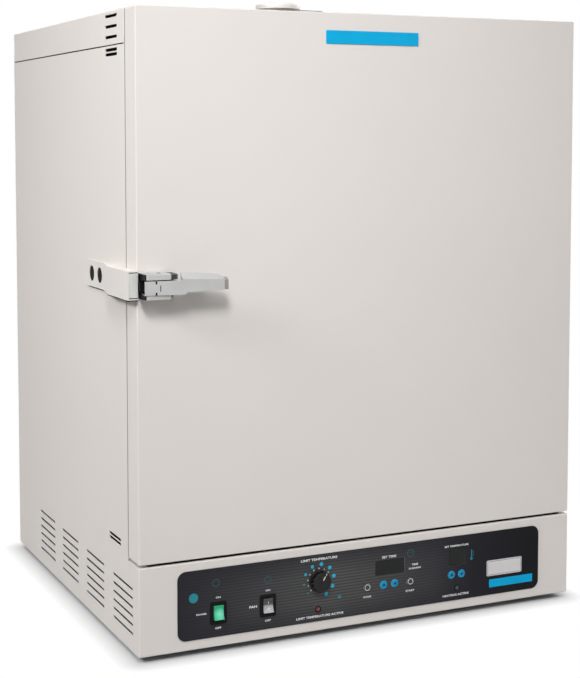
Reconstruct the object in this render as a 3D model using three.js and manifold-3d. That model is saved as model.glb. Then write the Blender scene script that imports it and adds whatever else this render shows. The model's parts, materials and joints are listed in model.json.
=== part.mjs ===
// A floor or bench forced-air oven with one hinged door, built from its separate pieces.
// Lengths are in millimetres, +Z is up and the door faces -Y.
// The pieces are drawn with x from the cabinet's middle, y from the door's front face
// and z from the cabinet's lower edge. The last lines move them onto the floor.
import * as THREE from "three";
import { mergeVertices } from "three/addons/utils/BufferGeometryUtils.js";
import Module from "manifold-3d";

// Sizes that drive the rest
const cabinet = { width: 775, height: 975, depth: 705 };
const door = { thickness: 48, seam: 3, floorGap: 4.5, edgeRadius: 3, flange: 22 };
const base = { height: 136.5, ledgeGap: 0.4 };
const walls = { side: 87.5, ends: 107, rear: 127 };
const gap = 0.3;
const sheet = 1.5;
const overrun = 2;
const weld = 0.0005;
const flangeWidth = 20;
const insulationGap = 0.6;

// Round forms are drawn with these numbers of sides
const sides = { fine: 36, round: 20, small: 10, rod: 6, wire: 4 };
const arcSteps = 2;
const slotSteps = 1;

// A rounded block's corners, seen from its soft face, against the radius of its edges
const cornerShare = 1.5;

const side = { joggle: 14, lipRise: 30, lipFront: 160 };
const cover = { skirt: 45, edgeRadius: 3 };
const slot = { length: 54, height: 4, front: 92 };
const coverSlots = { drop: 8, pitch: 16, count: 3 };
const sideSlots = { drop: 58, pitch: 7, count: 2 };
const lowSlots = { rise: 11.5, pitch: 6.5, count: 2 };
const louver = {
  length: 96, height: 4, front: 29, bottom: 28, pitch: 13.8, rows: 6, columnPitch: 142.5,
  columns: 4,
};
const rearLouver = {
  length: 110, height: 4, pitch: 14, rows: 5, columnPitch: 170, columns: 3, bottom: 150,
  topDrop: 195,
};
const foot = { radius: 20, neckRadius: 14, height: 10, inset: 46 };
const pan = { rise: 18 };
const mouthFlange = 18;

const overlay = { left: 61, right: 60, bottom: 15.5, top: 13, radius: 15, thickness: 0.8 };
const controlPlaceShares = {
  power_switch: [0.102, 0.347],
  fan_switch: [0.229, 0.347],
  limit_knob: [0.365, 0.606],
  timer_display: [0.561, 0.662],
  temperature_display: [0.755, 0.676],
  mode_button: [0.497, 0.4],
  time_up_button: [0.543, 0.403],
  time_down_button: [0.574, 0.403],
  start_button: [0.618, 0.4],
  temp_up_button: [0.738, 0.403],
  temp_down_button: [0.767, 0.403],
};
const windows = {
  timer_display: { width: 54, height: 24 },
  temperature_display: { width: 31, height: 27 },
};
const display = { rim: 4, front: -0.8 };
const board = { depth: 12, thickness: 1.6, margin: 26, inset: 15, postRadius: 2.5, postInset: 7 };
const boardPart = { width: 34, height: 26, depth: 22, inset: 52 };
const button = { radius: 6.5, stemRadius: 3, clearance: 0.45, travel: 0.8, proud: 1.4 };
const knob = { radius: 20, height: 17, lobes: 14, lobeDepth: 1.3, lift: 0.5, bore: 12, topRadius: 1.5 };
const limitBody = { radius: 19, depth: 26, shaftRadius: 3, holeRadius: 4.5 };
const rockerSwitch = {
  width: 27, height: 35, rim: 2, cornerRadius: 2.5, bodyWidth: 21, bodyHeight: 29.5,
};
const rockerWell = { width: 17, height: 26.4, depth: 9, bodyDepth: 22 };
const rocker = {
  width: 16, height: 22.4, pivotDepth: 2, valley: 5.8, peak: 8.2, shoulder: 3, heel: 2.5,
  tiltDegrees: 8,
};

const inlet = { inset: 107.5, rise: 66, width: 50, height: 28, flange: 2, bodyWidth: 31, bodyHeight: 23 };
const socket = { width: 25, height: 17, depth: 17, bodyDepth: 26, cornerRadius: 5 };
const socketPin = { width: 2, height: 4, length: 10, spread: 7, lift: 2 };

const vent = { radius: 25, bore: 21, flangeRadius: 36, flange: 3, setBack: 350 };
const ventWindow = { height: 9, width: 18, drop: 12, count: 4 };
const cap = { radius: 43.5, top: 45, thickness: 12, edgeRadius: 4, plate: 2.5, plateRadius: 37 };
const capTab = { reach: 92, width: 24, cornerRadius: 8 };

const strike = {
  height: 48, lift: 6, front: -8, rampFront: 88, rampRear: 150, rear: 242, proud: 17,
  pad: 3,
};
const keeper = { height: 38, lap: 1, wall: 2.5, shadowGap: 0.9, clearance: 0.4 };
const plug = { radius: 12.5, thickness: 2.3, front: 172, pitch: 41, domeRise: 0.6 };

const latch = {
  lift: 5, left: 8.5, width: 48.5, plate: 4, lowerEar: 9, upperEar: 11, span: 42, depth: 34,
};
const pivot = { across: 27, depth: 20, radius: 3 };
const lever = { right: 131, face: 39, armThickness: 9, hub: 7.2, faceRise: 21.5, tipTaper: 2 };
const bolt = { height: 13, top: 12, length: 33, notch: 2.7, notchDepth: 4.6 };
const tooth = { reach: 10, radius: 2 };

const hinge = {
  height: 64, leaf: 3, leafDepth: 50, doorLeafDepth: 35, knuckleRadius: 8, pinRadius: 4, web: 9,
  inset: 9,
};
const hingeRiseShares = { lower: 0.13, upper: 0.87 };

const badge = { across: 5.5, width: 164, drop: 48.5, height: 21, thickness: 0.8 };
const gasket = { inner: 9, outer: 26 };

const blower = { space: 48, clearance: 4.5 };
const wheel = {
  radius: 95, plate: 2.5, ringWidth: 18, hub: 14, blades: 20, bladeThickness: 2, depth: 35,
};
const shaft = { radius: 5, lead: 2, seat: 21 };
const motor = {
  radius: 47, standOff: 6, length: 72, plate: 118, plateThickness: 3, legRadius: 4, legInset: 9,
};
const jacket = {
  sideInset: 9.5, topInset: 9, rearThickness: 38.5, legHole: 6, shaftHole: 12,
};
const liner = { shaftHole: 9, wireHole: 4.8, probeHole: 4 };
const heater = { radius: 120, tube: 4, legReach: 22, openDegrees: 18, steps: 72 };
const probe = { across: 150, rise: 190, radius: 2.5, front: 9.5, rear: 22, collar: 8, collarDepth: 3 };
const baffleSlot = { width: 9, inner: 20, outer: 62, count: 12 };
const outlet = { length: 56, rows: 9, pitch: 52, inset: 60 };
const rail = {
  front: 44, rear: 15, post: 20, postInset: 45, thickness: 2, ledge: 14, pitch: 76, foot: 70,
  head: 90,
};
const shelf = {
  front: 46, rear: 4, frameRadius: 3.5, rodRadius: 1.8, bars: 13, clearance: 3, crossBars: 2,
};
const shelfLevels = { shelf_lower: 1, shelf_upper: 4 };

// Places worked out from the sizes above
const halfWidth = cabinet.width / 2;
const bodyFront = door.thickness + door.seam;
const doorBottom = base.height + door.floorGap;
const skirtSeam = cabinet.height - cover.skirt;
const panelTop = skirtSeam - 2 * gap;
const rearInside = cabinet.depth - sheet - gap;
const chamberMiddle = (doorBottom + cabinet.height) / 2;
const chamberFloor = doorBottom + walls.ends;
const chamberRoof = cabinet.height - walls.ends;
const chamberHalf = halfWidth - walls.side;
const chamberRear = cabinet.depth - walls.rear;
const baffleFront = chamberRear - blower.space;
const linerFront = bodyFront + sheet + gap;
const linerRear = chamberRear + sheet;
const jacketRear = linerRear + jacket.rearThickness;
const wheelFront = baffleFront + sheet + blower.clearance;
const wheelRear = wheelFront + wheel.depth;
const motorFront = jacketRear + motor.standOff;
const shaftYs = [wheelFront - shaft.lead, motorFront + shaft.seat];
const leftEdge = -halfWidth;
const strikeRise = chamberMiddle + strike.lift;
const latchRise = chamberMiddle + latch.lift;
const plugPlaces = [plug.front, plug.front + plug.pitch];
const hingeAxis = [halfWidth + hinge.inset, bodyFront - door.seam / 2];
const pivotPlace = [leftEdge + pivot.across, -pivot.depth];
const ventMiddle = [0, vent.setBack];

const wasm = await Module();
wasm.setup();

// Joining and cutting
function solidFrom(geometry) {
  const bare = geometry.index ? geometry.toNonIndexed() : geometry.clone();
  bare.deleteAttribute("normal");
  bare.deleteAttribute("uv");
  const merged = mergeVertices(bare, weld);
  const vertProperties = merged.getAttribute("position").array;
  const triVerts = new Uint32Array(merged.index.array);
  return new wasm.Manifold(new wasm.Mesh({ numProp: 3, vertProperties, triVerts }));
}

function geometryFrom(solid) {
  const { vertProperties, numProp, numVert, triVerts } = solid.getMesh();
  const corners = new Float32Array(numVert * 3);
  for (let i = 0; i < numVert; i += 1) {
    corners.set(vertProperties.subarray(i * numProp, i * numProp + 3), i * 3);
  }
  const geometry = new THREE.BufferGeometry();
  geometry.setAttribute("position", new THREE.BufferAttribute(corners, 3));
  geometry.setIndex(new THREE.BufferAttribute(triVerts, 1));
  geometry.computeVertexNormals();
  return geometry;
}

const join = (first, ...others) => others.reduce((whole, piece) => whole.add(piece), first);
const cut = (first, ...tools) => tools.reduce((whole, tool) => whole.subtract(tool), first);
const middle = ([low, high]) => (low + high) / 2;
const around = (centre, size) => [centre - size / 2, centre + size / 2];
const grown = ([low, high], by) => [low - by, high + by];
const repeat = (count, make) => Array.from({ length: count }, (_, i) => make(i));
const quarterTurn = Math.PI / 2;

// Basic forms, each a closed solid
function block(xs, ys, zs) {
  const spans = [xs, ys, zs];
  const geometry = new THREE.BoxGeometry(...spans.map(([low, high]) => high - low));
  geometry.translate(...spans.map(middle));
  return solidFrom(geometry);
}

// A cylinder along an axis; its centre gives the two other coordinates in x, y, z order.
function rod(axis, radius, span, centre, count = sides.round) {
  const geometry = new THREE.CylinderGeometry(radius, radius, span[1] - span[0], count);
  if (axis === "x") geometry.rotateZ(quarterTurn);
  if (axis === "z") geometry.rotateX(quarterTurn);
  const place = [...centre];
  place.splice("xyz".indexOf(axis), 0, middle(span));
  geometry.translate(...place);
  return solidFrom(geometry);
}

function tube(axis, radius, bore, span, centre, count) {
  const hole = rod(axis, bore, grown(span, overrun), centre, count);
  return cut(rod(axis, radius, span, centre, count), hole);
}

// An outline drawn in the plane across an axis (y-z, x-z or x-y) and pushed along it.
function prism(axis, span, outline, bevel = 0, curveSegments = arcSteps) {
  const options = { depth: span[1] - span[0], curveSegments, bevelEnabled: bevel > 0 };
  if (bevel > 0) {
    Object.assign(options, { bevelThickness: bevel, bevelSize: bevel, bevelOffset: -bevel });
    options.bevelSegments = arcSteps;
  }
  const geometry = new THREE.ExtrudeGeometry(outline, options);
  const unit = [new THREE.Vector3(1, 0, 0), new THREE.Vector3(0, 1, 0), new THREE.Vector3(0, 0, 1)];
  const turned = new THREE.Matrix4();
  if (axis === "x") turned.makeBasis(unit[1], unit[2], unit[0]);
  if (axis === "y") turned.makeBasis(unit[0], unit[2], unit[1].clone().negate());
  geometry.applyMatrix4(turned);
  const start = { x: [span[0], 0, 0], y: [0, span[1], 0], z: [0, 0, span[0]] };
  geometry.translate(...start[axis]);
  return solidFrom(geometry);
}

function outlineOf(points) {
  return new THREE.Shape(points.map(([u, v]) => new THREE.Vector2(u, v)));
}

function roundRect([left, right], [low, high], radius) {
  const outline = new THREE.Shape();
  outline.absarc(right - radius, high - radius, radius, 0, quarterTurn);
  outline.absarc(left + radius, high - radius, radius, quarterTurn, 2 * quarterTurn);
  outline.absarc(left + radius, low + radius, radius, 2 * quarterTurn, 3 * quarterTurn);
  outline.absarc(right - radius, low + radius, radius, 3 * quarterTurn, 4 * quarterTurn);
  return outline;
}

// A long round-ended hole, pushed along an axis
function longHole(axis, span, reach, centre, height) {
  return prism(axis, span, roundRect(reach, around(centre, height), height / 2), 0, slotSteps);
}

// A block whose front or top edges are rounded off.
function softBlock(axis, xs, ys, zs, radius) {
  const plane = { y: [xs, zs], z: [xs, ys] }[axis];
  const reach = cornerShare * radius;
  const inner = axis === "y" ? [ys[0] + radius, ys[1] + reach] : [zs[0] - reach, zs[1] - radius];
  return prism(axis, inner, roundRect(plane[0], plane[1], reach), radius).intersect(block(xs, ys, zs));
}

// Each finish is made anew, so every piece has its own.
const finishes = {
  paint: { color: 0xdcd8d3, roughness: 0.45, metalness: 0 },
  stainless: { color: 0xb9bcbe, roughness: 0.3, metalness: 0.9 },
  castMetal: { color: 0xbfc0bf, roughness: 0.35, metalness: 0.7 },
  steel: { color: 0x8d9195, roughness: 0.4, metalness: 0.9 },
  blackPlastic: { color: 0x1c1d20, roughness: 0.45, metalness: 0 },
  film: { color: 0x3a393e, roughness: 0.4, metalness: 0 },
  rubber: { color: 0x2a2a2a, roughness: 0.8, metalness: 0 },
  silicone: { color: 0xa5492f, roughness: 0.6, metalness: 0 },
  blue: { color: 0x14a0d7, roughness: 0.35, metalness: 0 },
  green: { color: 0x3cc88c, roughness: 0.25, metalness: 0 },
  smoked: { color: 0x15161a, roughness: 0.15, metalness: 0 },
  wool: { color: 0xe3d9b8, roughness: 0.95, metalness: 0 },
  greenBoard: { color: 0x1f6b3f, roughness: 0.5, metalness: 0 },
};

const oven = new THREE.Group();
const doorGroup = new THREE.Group();
oven.add(doorGroup);

function addPiece(name, solid, finish, group = oven) {
  const mesh = new THREE.Mesh(geometryFrom(solid), new THREE.MeshStandardMaterial(finishes[finish]));
  mesh.name = name;
  group.add(mesh);
  return mesh;
}

// Side panels: the left one is drawn, and the right one is its mirror image
function sidePanel() {
  const outer = leftEdge;
  const outline = outlineOf([
    [sheet + gap, 0],
    [rearInside, 0],
    [rearInside, panelTop],
    [linerFront, panelTop],
    [linerFront, base.height],
    [sheet + gap, base.height],
  ]);
  const skin = prism("x", [outer, outer + sheet], outline);
  const inside = [outer + sheet / 2, outer + flangeWidth];
  const rearFlange = block(inside, [rearInside - sheet, rearInside], [sheet, panelTop]);
  const lipFace = outer + sheet + gap;
  const lipDepth = [side.lipFront, rearInside - flangeWidth];
  const lipFoot = panelTop - side.joggle;
  const step = block([outer + sheet / 2, lipFace + sheet], lipDepth, [lipFoot, panelTop]);
  const lip = block([lipFace, lipFace + sheet], lipDepth, [lipFoot, panelTop + side.lipRise]);
  const through = [outer - overrun, outer + flangeWidth];
  const slotSpan = [slot.front, slot.front + slot.length];
  const slotRises = [
    ...repeat(sideSlots.count, (i) => cabinet.height - sideSlots.drop - i * sideSlots.pitch),
    ...repeat(lowSlots.count, (i) => doorBottom + lowSlots.rise + i * lowSlots.pitch),
  ];
  const slots = slotRises.map((rise) => longHole("x", through, slotSpan, rise, slot.height));
  const louvers = repeat(louver.columns, (column) => {
    const front = louver.front + column * louver.columnPitch;
    return repeat(louver.rows, (row) => {
      const rise = louver.bottom + row * louver.pitch;
      return longHole("x", through, [front, front + louver.length], rise, louver.height);
    });
  }).flat();
  return cut(join(skin, rearFlange, step, lip), ...slots, ...louvers);
}

const leftPanel = sidePanel();
addPiece("left_side_panel", leftPanel, "paint");
addPiece("right_side_panel", leftPanel.mirror([1, 0, 0]), "paint");

// Top cover with a skirt all round, ventilation slots and the hole for the vent
function topCover() {
  const shell = softBlock(
    "z",
    [-halfWidth, halfWidth],
    [bodyFront, cabinet.depth],
    [skirtSeam, cabinet.height],
    cover.edgeRadius,
  );
  const hollow = block(
    [-halfWidth + sheet, halfWidth - sheet],
    [bodyFront + sheet, cabinet.depth - sheet],
    [skirtSeam - overrun, cabinet.height - sheet],
  );
  const slotSpan = [slot.front, slot.front + slot.length];
  const wide = [-halfWidth - overrun, halfWidth + overrun];
  const slots = repeat(coverSlots.count, (i) => {
    const rise = cabinet.height - coverSlots.drop - i * coverSlots.pitch;
    return longHole("x", wide, slotSpan, rise, slot.height);
  });
  const holeZs = [skirtSeam, cabinet.height + overrun];
  const hole = rod("z", vent.radius + gap, holeZs, ventMiddle, sides.fine);
  return cut(shell, hollow, ...slots, hole);
}
addPiece("top_cover", topCover(), "paint");

const inletAcross = halfWidth - inlet.inset;

// Rear cover with two banks of louvers and the cut-out for the inlet
function rearCover() {
  const across = [cabinet.depth - sheet, cabinet.depth];
  const plate = block([-halfWidth, halfWidth], across, [0, panelTop]);
  const middleColumn = (rearLouver.columns - 1) / 2;
  const through = grown(across, overrun);
  const centres = repeat(rearLouver.columns, (column) => (column - middleColumn) * rearLouver.columnPitch);
  const louvers = [rearLouver.bottom, cabinet.height - rearLouver.topDrop].flatMap((bottom) =>
    centres.flatMap((centre) =>
      repeat(rearLouver.rows, (row) => {
        const rise = bottom + row * rearLouver.pitch;
        return longHole("y", through, around(centre, rearLouver.length), rise, rearLouver.height);
      }),
    ),
  );
  const inletHole = block(
    around(inletAcross, inlet.bodyWidth + 2 * gap),
    through,
    around(inlet.rise, inlet.bodyHeight + 2 * gap),
  );
  return cut(plate, ...louvers, inletHole);
}
addPiece("rear_cover", rearCover(), "paint");

// Base pan, open upwards, inside the side panels
function basePan() {
  const reach = halfWidth - sheet - gap;
  const ys = [sheet + gap, rearInside - sheet - gap];
  const tray = block([-reach, reach], ys, [0, pan.rise]);
  const hollow = block([-reach + sheet, reach - sheet], grown(ys, -sheet), [sheet, pan.rise + overrun]);
  return cut(tray, hollow);
}
addPiece("base_pan", basePan(), "steel");

// Where the printed film lies on the fascia, and where a control sits on it, in x and z
const filmXs = [leftEdge + overlay.left, halfWidth - overlay.right];
const filmZs = [overlay.bottom, base.height - overlay.top];
function controlPlace(name) {
  return [filmXs, filmZs].map(([low, high], i) => low + controlPlaceShares[name][i] * (high - low));
}
const buttonNames = Object.keys(controlPlaceShares).filter((name) => name.endsWith("_button"));
const switchNames = ["power_switch", "fan_switch"];

// Holes for the controls, cut alike through the fascia and the film on it
function controlHoles(span, { forButtons, forKnob }) {
  const holes = buttonNames.map((name) => rod("y", forButtons, span, controlPlace(name), sides.round));
  holes.push(rod("y", forKnob, span, controlPlace("limit_knob"), sides.round));
  for (const name of switchNames) {
    const [x, z] = controlPlace(name);
    const xs = around(x, rockerSwitch.bodyWidth + 2 * gap);
    holes.push(block(xs, span, around(z, rockerSwitch.bodyHeight + 2 * gap)));
  }
  for (const [name, { width, height }] of Object.entries(windows)) {
    const [x, z] = controlPlace(name);
    holes.push(block(around(x, width), span, around(z, height)));
  }
  return holes;
}

// Front fascia: the face below the door, with a ledge that runs back under it
function frontFascia() {
  const face = softBlock("y", [leftEdge, halfWidth], [0, sheet], [0, base.height], sheet - gap);
  const reach = halfWidth - sheet - gap;
  const ledgeYs = [sheet / 2, bodyFront - base.ledgeGap];
  const ledge = block([-reach, reach], ledgeYs, [base.height - sheet, base.height]);
  const holes = controlHoles([-overrun, sheet + overrun], {
    forButtons: button.stemRadius + button.clearance,
    forKnob: limitBody.holeRadius,
  });
  return cut(join(face, ledge), ...holes);
}
addPiece("front_fascia", frontFascia(), "paint");

const filmFront = -gap - overlay.thickness;
function controlOverlay() {
  const film = prism("y", [filmFront, -gap], roundRect(filmXs, filmZs, overlay.radius));
  const holes = controlHoles([filmFront - overrun, overrun], {
    forButtons: button.radius + button.clearance,
    forKnob: limitBody.holeRadius,
  });
  return cut(film, ...holes);
}
addPiece("control_overlay", controlOverlay(), "film");

// Face frame round the chamber's mouth
function faceFrame() {
  const ys = [bodyFront, bodyFront + sheet];
  const plate = block([-halfWidth, halfWidth], ys, [base.height + gap, panelTop]);
  const mouth = block([-chamberHalf, chamberHalf], grown(ys, overrun), [chamberFloor, chamberRoof]);
  return cut(plate, mouth);
}
addPiece("face_frame", faceFrame(), "paint");

// Places where wires, the probe and the motor's shaft and legs go through the chamber's rear
const motorMiddle = [0, chamberMiddle];
const heaterLegs = [-1, 1].map((hand) => {
  const angle = (hand * heater.openDegrees * Math.PI) / 180;
  return [heater.radius * Math.sin(angle), chamberMiddle - heater.radius * Math.cos(angle)];
});
const probePlace = [probe.across, chamberMiddle + probe.rise];
const motorLegPlaces = [-1, 1].flatMap((across) =>
  [-1, 1].map((up) => {
    const reach = motor.plate / 2 - motor.legInset;
    return [across * reach, chamberMiddle + up * reach];
  }),
);

// Stainless chamber liner, open to the front
function chamberLiner() {
  const reach = chamberHalf + sheet;
  const rises = [chamberFloor, chamberRoof];
  const shell = block([-reach, reach], [linerFront, linerRear], grown(rises, sheet));
  const lip = block(
    [-chamberHalf - mouthFlange, chamberHalf + mouthFlange],
    [linerFront, linerFront + sheet],
    grown(rises, mouthFlange),
  );
  const hollow = block([-chamberHalf, chamberHalf], [linerFront - overrun, chamberRear], rises);
  const rear = [chamberRear - overrun, linerRear + overrun];
  const holes = [
    rod("y", liner.shaftHole, rear, motorMiddle, sides.round),
    rod("y", liner.probeHole, rear, probePlace, sides.small),
    ...heaterLegs.map((place) => rod("y", liner.wireHole, rear, place, sides.small)),
    rod("z", vent.radius + gap, grown([chamberRoof, chamberRoof + sheet], overrun), ventMiddle, sides.fine),
  ];
  return cut(join(shell, lip), hollow, ...holes);
}
addPiece("chamber_liner", chamberLiner(), "stainless");

// Mineral wool round the liner
function insulationJacket() {
  const reach = halfWidth - jacket.sideInset;
  const front = linerFront + sheet + gap;
  const top = cabinet.height - jacket.topInset;
  const slab = block([-reach, reach], [front, jacketRear], [base.height + jacket.sideInset, top]);
  const clear = sheet + insulationGap;
  const hollow = block(
    [-chamberHalf - clear, chamberHalf + clear],
    [front - overrun, linerRear + insulationGap],
    [chamberFloor - clear, chamberRoof + clear],
  );
  const rear = [linerRear, jacketRear + overrun];
  const holes = [
    rod("y", jacket.shaftHole, rear, motorMiddle, sides.round),
    rod("y", probe.collar + insulationGap, rear, probePlace, sides.round),
    ...motorLegPlaces.map((place) => rod("y", jacket.legHole, rear, place, sides.small)),
    ...heaterLegs.map((place) => rod("y", liner.wireHole, rear, place, sides.small)),
    rod("z", vent.radius + insulationGap, [chamberRoof, top + overrun], ventMiddle, sides.fine),
  ];
  return cut(slab, hollow, ...holes);
}
addPiece("insulation_jacket", insulationJacket(), "wool");

// Rear baffle: air is drawn in at its middle and blown out along its sides
function rearBaffle() {
  const ys = [baffleFront, baffleFront + sheet];
  const through = grown(ys, overrun);
  const reach = chamberHalf - gap;
  const plate = block([-reach, reach], ys, [chamberFloor + gap, chamberRoof - gap]);
  const footXs = [flangeWidth - reach, reach - flangeWidth];
  const footZs = [chamberFloor + 2 * gap, chamberFloor + 2 * gap + sheet];
  const rest = block(footXs, [middle(ys), chamberRear - gap], footZs);
  const intakes = repeat(baffleSlot.count, (i) => {
    const turn = (i * 2 * Math.PI) / baffleSlot.count;
    const hole = longHole("y", through, [baffleSlot.inner, baffleSlot.outer], 0, baffleSlot.width);
    return hole.rotate([0, (turn * 180) / Math.PI, 0]).translate([0, 0, chamberMiddle]);
  });
  const outlets = [-1, 1].flatMap((hand) =>
    repeat(outlet.rows, (row) => {
      const span = around(hand * (chamberHalf - outlet.inset), outlet.length);
      const rise = chamberMiddle + (row - (outlet.rows - 1) / 2) * outlet.pitch;
      return longHole("y", through, span, rise, baffleSlot.width);
    }),
  );
  return cut(join(plate, rest), ...intakes, ...outlets);
}
addPiece("rear_baffle", rearBaffle(), "stainless");

// Ladder rails that carry the shelves, with as many ledges as the chamber has room for
const ledgeRise = (level) => chamberFloor + rail.foot + level * rail.pitch;
const ledgeRoom = chamberRoof - chamberFloor - rail.foot - rail.head;
const ledgeCount = Math.floor(ledgeRoom / rail.pitch) + 1;
function shelfRail() {
  const wall = -chamberHalf + gap;
  const ys = [bodyFront + rail.front, baffleFront - rail.rear];
  const postRises = [ledgeRise(0) - rail.post, ledgeRise(ledgeCount - 1) + rail.post];
  const posts = grown(ys, -rail.postInset).map((depth) =>
    block([wall, wall + rail.thickness], around(depth, rail.post), postRises),
  );
  const ledges = repeat(ledgeCount, (level) => {
    const rise = ledgeRise(level);
    return block([wall, wall + rail.ledge], ys, [rise - rail.thickness, rise]);
  });
  return join(...posts, ...ledges);
}
const leftRail = shelfRail();
addPiece("shelf_rail_left", leftRail, "stainless");
addPiece("shelf_rail_right", leftRail.mirror([1, 0, 0]), "stainless");

// Wire shelf: a round-cornered frame, two bars across it and a row of wires over them
function wireShelf() {
  const reach = chamberHalf - gap - rail.thickness - shelf.clearance - shelf.frameRadius;
  const ys = grown([bodyFront + shelf.front, baffleFront - shelf.rear], -shelf.frameRadius);
  const thick = [0, 2 * shelf.frameRadius];
  const across = [-reach, reach];
  const bar = (axis, span, centre) => rod(axis, shelf.frameRadius, span, centre, sides.rod);
  const frameBars = ys.map((depth) => bar("x", across, [depth, middle(thick)]));
  const sideBars = across.map((x) => bar("y", ys, [x, middle(thick)]));
  const corners = across.flatMap((x) => ys.map((depth) => bar("z", thick, [x, depth])));
  const crossBars = repeat(shelf.crossBars, (i) => {
    const depth = ys[0] + ((i + 1) * (ys[1] - ys[0])) / (shelf.crossBars + 1);
    return bar("x", across, [depth, middle(thick)]);
  });
  const wireRise = thick[1] - shelf.rodRadius;
  const wires = repeat(shelf.bars, (i) => {
    const x = across[0] + ((i + 1) * (across[1] - across[0])) / (shelf.bars + 1);
    return rod("y", shelf.rodRadius, ys, [x, wireRise], sides.wire);
  });
  return join(...frameBars, ...sideBars, ...corners, ...crossBars, ...wires);
}
const shelfSolid = wireShelf();
for (const [name, level] of Object.entries(shelfLevels)) {
  addPiece(name, shelfSolid, "stainless").position.z = ledgeRise(level) + gap;
}

// Blower: wheel, shaft and motor on the chamber's rear
function blowerWheel() {
  const wheelYs = [wheelFront, wheelRear];
  const backPlate = rod("y", wheel.radius, [wheelRear - wheel.plate, wheelRear], motorMiddle, sides.fine);
  const frontRing = tube(
    "y",
    wheel.radius,
    wheel.radius - wheel.ringWidth,
    [wheelFront, wheelFront + wheel.plate],
    motorMiddle,
    sides.fine,
  );
  const hub = rod("y", wheel.hub, [middle(wheelYs), wheelRear], motorMiddle, sides.round);
  const bladeReach = [wheel.radius - wheel.ringWidth, wheel.radius - wheel.bladeThickness];
  const blades = repeat(wheel.blades, (i) => {
    const upright = block(around(0, wheel.bladeThickness), grown(wheelYs, -wheel.plate / 2), bladeReach);
    return upright.rotate([0, (i * 360) / wheel.blades, 0]).translate([0, 0, chamberMiddle]);
  });
  const bore = rod("y", shaft.radius + gap, grown(wheelYs, overrun), motorMiddle);
  return cut(join(backPlate, frontRing, hub, ...blades), bore);
}
addPiece("blower_wheel", blowerWheel(), "stainless");
addPiece("motor_shaft", rod("y", shaft.radius, shaftYs, motorMiddle), "steel");

function fanMotor() {
  const can = rod("y", motor.radius, [motorFront, motorFront + motor.length], motorMiddle, sides.fine);
  const plateYs = [motorFront, motorFront + motor.plateThickness];
  const plate = block(around(0, motor.plate), plateYs, around(chamberMiddle, motor.plate));
  const legYs = [linerRear + gap, middle(plateYs)];
  const legs = motorLegPlaces.map((place) => rod("y", motor.legRadius, legYs, place, sides.small));
  const bore = rod("y", shaft.radius + gap, [motorFront - overrun, shaftYs[1] + gap], motorMiddle);
  return cut(join(can, plate, ...legs), bore);
}
addPiece("fan_motor", fanMotor(), "steel");

// Tubular heater: one open ring round the blower, its two ends turned back through the rear wall
function heaterElement() {
  const open = (heater.openDegrees * Math.PI) / 180;
  const depth = wheelFront + 5 * heater.tube;
  const bendRadius = 3 * heater.tube;
  const ring = repeat(heater.steps + 1, (i) => {
    const angle = open + (i / heater.steps) * (2 * Math.PI - 2 * open);
    const x = -heater.radius * Math.sin(angle);
    return new THREE.Vector3(x, depth, chamberMiddle - heater.radius * Math.cos(angle));
  }).filter((point, i, all) => i > 2 && i < all.length - 3);
  const legs = heaterLegs.map(([x, z]) => [
    new THREE.Vector3(x, chamberRear + heater.legReach, z),
    new THREE.Vector3(x, depth + 2 * bendRadius, z),
    new THREE.Vector3(x, depth + bendRadius, z),
  ]);
  const path = new THREE.CatmullRomCurve3([...legs[0], ...ring, ...legs[1].reverse()]);
  const section = new THREE.Shape();
  section.absarc(0, 0, heater.tube, 0, 2 * Math.PI);
  const geometry = new THREE.ExtrudeGeometry(section, {
    steps: heater.steps,
    curveSegments: arcSteps,
    extrudePath: path,
  });
  return solidFrom(geometry);
}
addPiece("heater_element", heaterElement(), "steel");

function temperatureProbe() {
  const stemYs = [baffleFront + sheet + probe.front, jacketRear + probe.rear];
  const stem = rod("y", probe.radius, stemYs, probePlace, sides.small);
  const collarYs = [linerRear + gap, linerRear + gap + probe.collarDepth];
  return join(stem, rod("y", probe.collar, collarYs, probePlace, sides.small));
}
addPiece("temperature_probe", temperatureProbe(), "stainless");

// Vent on the roof: a fixed collar with windows in it, and a cap on a plate with a turning tab
const capZs = [cabinet.height + cap.top - cap.thickness, cabinet.height + cap.top];
const capPlateZs = [capZs[0] - cap.plate, capZs[0]];
function ventCollar() {
  const top = capPlateZs[0] - gap;
  const pipe = rod("z", vent.radius, [chamberRoof, top], ventMiddle, sides.fine);
  const flangeZs = [cabinet.height + gap, cabinet.height + gap + vent.flange];
  const flange = rod("z", vent.flangeRadius, flangeZs, ventMiddle, sides.fine);
  const bore = rod("z", vent.bore, grown([chamberRoof, top], overrun), ventMiddle, sides.fine);
  const openings = repeat(ventWindow.count, (i) => {
    const rises = around(top - ventWindow.drop, ventWindow.height);
    const hole = block(around(0, ventWindow.width), [0, vent.flangeRadius], rises);
    return hole.rotate([0, 0, (i * 360) / ventWindow.count]).translate([0, vent.setBack, 0]);
  });
  return cut(join(pipe, flange), bore, ...openings);
}
addPiece("vent_collar", ventCollar(), "castMetal");

function ventCap() {
  const [bottom, top] = capZs;
  const crown = new THREE.Shape();
  crown.moveTo(0, bottom);
  crown.lineTo(cap.radius, bottom);
  crown.absarc(cap.radius - cap.edgeRadius, top - cap.edgeRadius, cap.edgeRadius, 0, quarterTurn);
  crown.lineTo(0, top);
  const dome = new THREE.LatheGeometry(crown.getPoints(arcSteps), sides.fine);
  dome.rotateX(quarterTurn);
  dome.translate(0, vent.setBack, 0);
  const plateZs = [capPlateZs[0], middle(capZs)];
  const plate = rod("z", cap.plateRadius, plateZs, ventMiddle, sides.fine);
  const tabYs = around(vent.setBack, capTab.width);
  const tab = prism("z", capPlateZs, roundRect([0, capTab.reach], tabYs, capTab.cornerRadius));
  return join(solidFrom(dome), plate, tab);
}
addPiece("vent_cap", ventCap(), "castMetal");

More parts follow.
